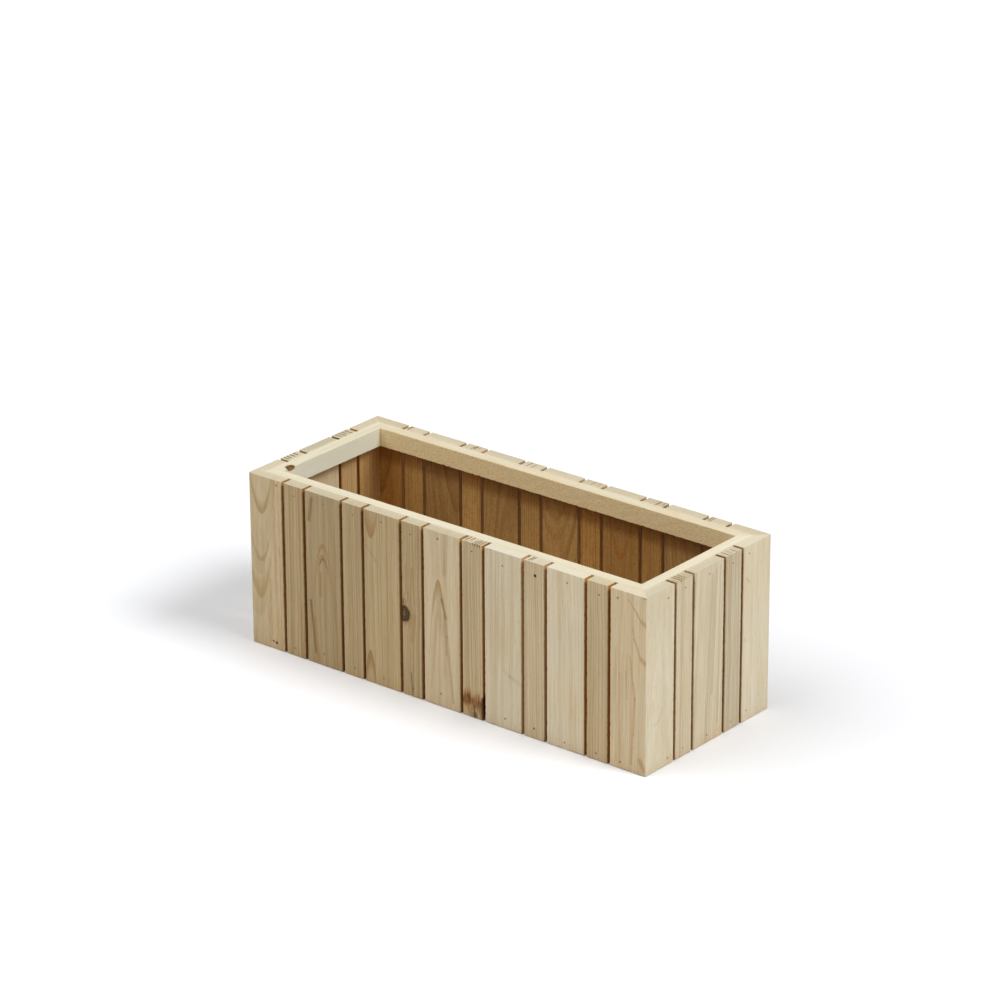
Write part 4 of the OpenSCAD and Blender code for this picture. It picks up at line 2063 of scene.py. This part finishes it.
@dataclass
class Studio:
    """The camera, the lamps, the white surroundings and the pale floor.

    Attributes:
        eye: Where the camera stands, in metres.
        bearing: How far the view is turned from the planter's depth towards its left end, in degrees.
        dip: How far the view looks down, in degrees.
        roll: How far the camera is turned about its view, in degrees.
        lens: The focal length in millimetres.
        sky: The strength of the surroundings' light.
        floor_half: Half the floor's width, in metres.
        floor_glow: How much of the floor's white the camera sees without light.
        floor_white: How much of the light on the floor the camera sees, in red, green and blue.
        floor_bounce: How much light the floor gives back to the planter.
        lamps: The lamps.
    """

    eye: Size = (3.0579, -3.7306, 2.226)
    bearing: float = 39.415
    dip: float = 22.528
    roll: float = 0.3055
    lens: float = 160.07
    sky: float = 0.334
    floor_half: float = 6.0
    floor_glow: float = 0.01
    floor_white: Shade = (0.942, 0.95, 0.975)
    floor_bounce: float = 0.45
    lamps: tuple[Lamp, ...] = (
        Lamp("lamp_right", (0.647, 0.136, 0.75), 0.518, 21.0),
        Lamp("lamp_low_right", (0.781, -0.064, 0.621), 0.119, 27.0),
        Lamp("lamp_front_left", (-0.416, -0.46, 0.785), 0.403, 50.0),
    )

    def camera(self) -> None:
        """Makes the camera and points it by its bearing, dip and roll."""
        turn, down = math.radians(self.bearing), math.radians(self.dip)
        view = Vector((-math.sin(turn) * math.cos(down), math.cos(turn) * math.cos(down), -math.sin(down)))
        data = bpy.data.cameras.new("camera")
        data.lens = self.lens
        data.sensor_width = 36.0
        data.clip_end = 100.0
        camera = bpy.data.objects.new("camera", data)
        camera.rotation_mode = "QUATERNION"
        camera.rotation_quaternion = Quaternion(view, math.radians(self.roll)) @ view.to_track_quat("-Z", "Y")
        camera.location = self.eye
        bpy.context.scene.collection.objects.link(camera)
        bpy.context.scene.camera = camera

    def seen_directly(self, tree: bpy.types.NodeTree) -> Socket:
        """1 for what the camera sees, also through gloss or glass, and 0 for light that falls on things.

        Args:
            tree: The node tree to add to.

        Returns:
            The socket that gives the number.
        """
        path = tree.nodes.new("ShaderNodeLightPath")
        seen = Number(tree, path.outputs["Is Camera Ray"])
        seen = seen.sum("MAXIMUM", Number(tree, path.outputs["Is Glossy Ray"]))
        return seen.sum("MAXIMUM", Number(tree, path.outputs["Is Transmission Ray"])).socket

    def surroundings(self) -> None:
        """Makes the world: plain white where it is seen, and soft light elsewhere."""
        world = bpy.data.worlds.new("surroundings")
        bpy.context.scene.world = world
        world.use_nodes = True
        tree = world.node_tree
        tree.nodes.clear()
        glow = tree.nodes.new("ShaderNodeBackground")
        glow.inputs["Strength"].default_value = self.sky
        white = tree.nodes.new("ShaderNodeBackground")
        both = tree.nodes.new("ShaderNodeMixShader")
        out = tree.nodes.new("ShaderNodeOutputWorld")
        tree.links.new(self.seen_directly(tree), both.inputs[0])
        tree.links.new(glow.outputs[0], both.inputs[1])
        tree.links.new(white.outputs[0], both.inputs[2])
        tree.links.new(both.outputs[0], out.inputs[0])
        glow.inputs["Color"].default_value = (1.0, 1.0, 1.0, 1.0)
        white.inputs["Color"].default_value = (1.0, 1.0, 1.0, 1.0)

    def floor_material(self) -> bpy.types.Material:
        """Makes the floor's material: white to the camera but for the shadows, and darker to the planter.

        Returns:
            The material.
        """
        material = bpy.data.materials.new("pale_floor")
        material.use_nodes = True
        tree = material.node_tree
        tree.nodes.clear()
        seen = tree.nodes.new("ShaderNodeBsdfDiffuse")
        seen.inputs["Color"].default_value = (*self.floor_white, 1.0)
        glow = tree.nodes.new("ShaderNodeEmission")
        glow.inputs["Strength"].default_value = self.floor_glow
        shown = tree.nodes.new("ShaderNodeAddShader")
        bounce = tree.nodes.new("ShaderNodeBsdfDiffuse")
        bounce.inputs["Color"].default_value = (*(self.floor_bounce,) * 3, 1.0)
        both = tree.nodes.new("ShaderNodeMixShader")
        out = tree.nodes.new("ShaderNodeOutputMaterial")
        tree.links.new(seen.outputs[0], shown.inputs[0])
        tree.links.new(glow.outputs[0], shown.inputs[1])
        tree.links.new(self.seen_directly(tree), both.inputs[0])
        tree.links.new(bounce.outputs[0], both.inputs[1])
        tree.links.new(shown.outputs[0], both.inputs[2])
        tree.links.new(both.outputs[0], out.inputs[0])
        return material

    def floor(self) -> None:
        """Makes the floor: a flat sheet on a grid of two distances."""
        steps = np.linspace(-self.floor_half, self.floor_half, 9)
        first, second = np.meshgrid(steps, steps, indexing="ij")
        points = np.stack([first, second, np.zeros_like(first)], axis=-1).reshape(-1, 3)
        faces = squares_of(np.arange(len(points)).reshape(first.shape))
        mesh_piece("studio_floor", points, faces, self.floor_material())

    def build(self) -> None:
        """Makes the whole studio."""
        self.camera()
        for lamp in self.lamps:
            lamp.build()
        self.surroundings()
        self.floor()
        bpy.context.scene.view_settings.view_transform = "Standard"


def main() -> None:
    """Builds the studio and the planter."""
    logging.basicConfig(level=logging.INFO, format="%(name)s: %(message)s")
    Studio().build()
    walls = (
        WallBoards(Side.FRONT, 13, FRONT_TIMBER, stray=FRONT_BRADS),
        WallBoards(Side.RIGHT, 5, RIGHT_TIMBER, stray=RIGHT_BRADS),
        # The back wall's inner faces carry a painted shadow of the upper frame.
        WallBoards(
            Side.BACK, 13, {5: BACK_FIGURE}, (Tone.TAN, Tone.HONEY), shades=BACK_SHADES, rim_stain=0.95
        ),
        WallBoards(Side.LEFT, 5, LEFT_TIMBER, (Tone.PALE, Tone.CREAM), sawn=0.4),
    )
    boards = [board for wall in walls for board in wall.build()]
    RailFrame("top", (Tone.IVORY, Tone.IVORY, Tone.PALE, Tone.IVORY), pocket_side=Side.LEFT).build()
    RailFrame("bottom", (Tone.HONEY, Tone.STRAW, Tone.HONEY, Tone.HONEY), along_pitch=4.5).build()
    PlanterFloor().build()
    Brads().build(boards)


if __name__ == "__main__":
    main()
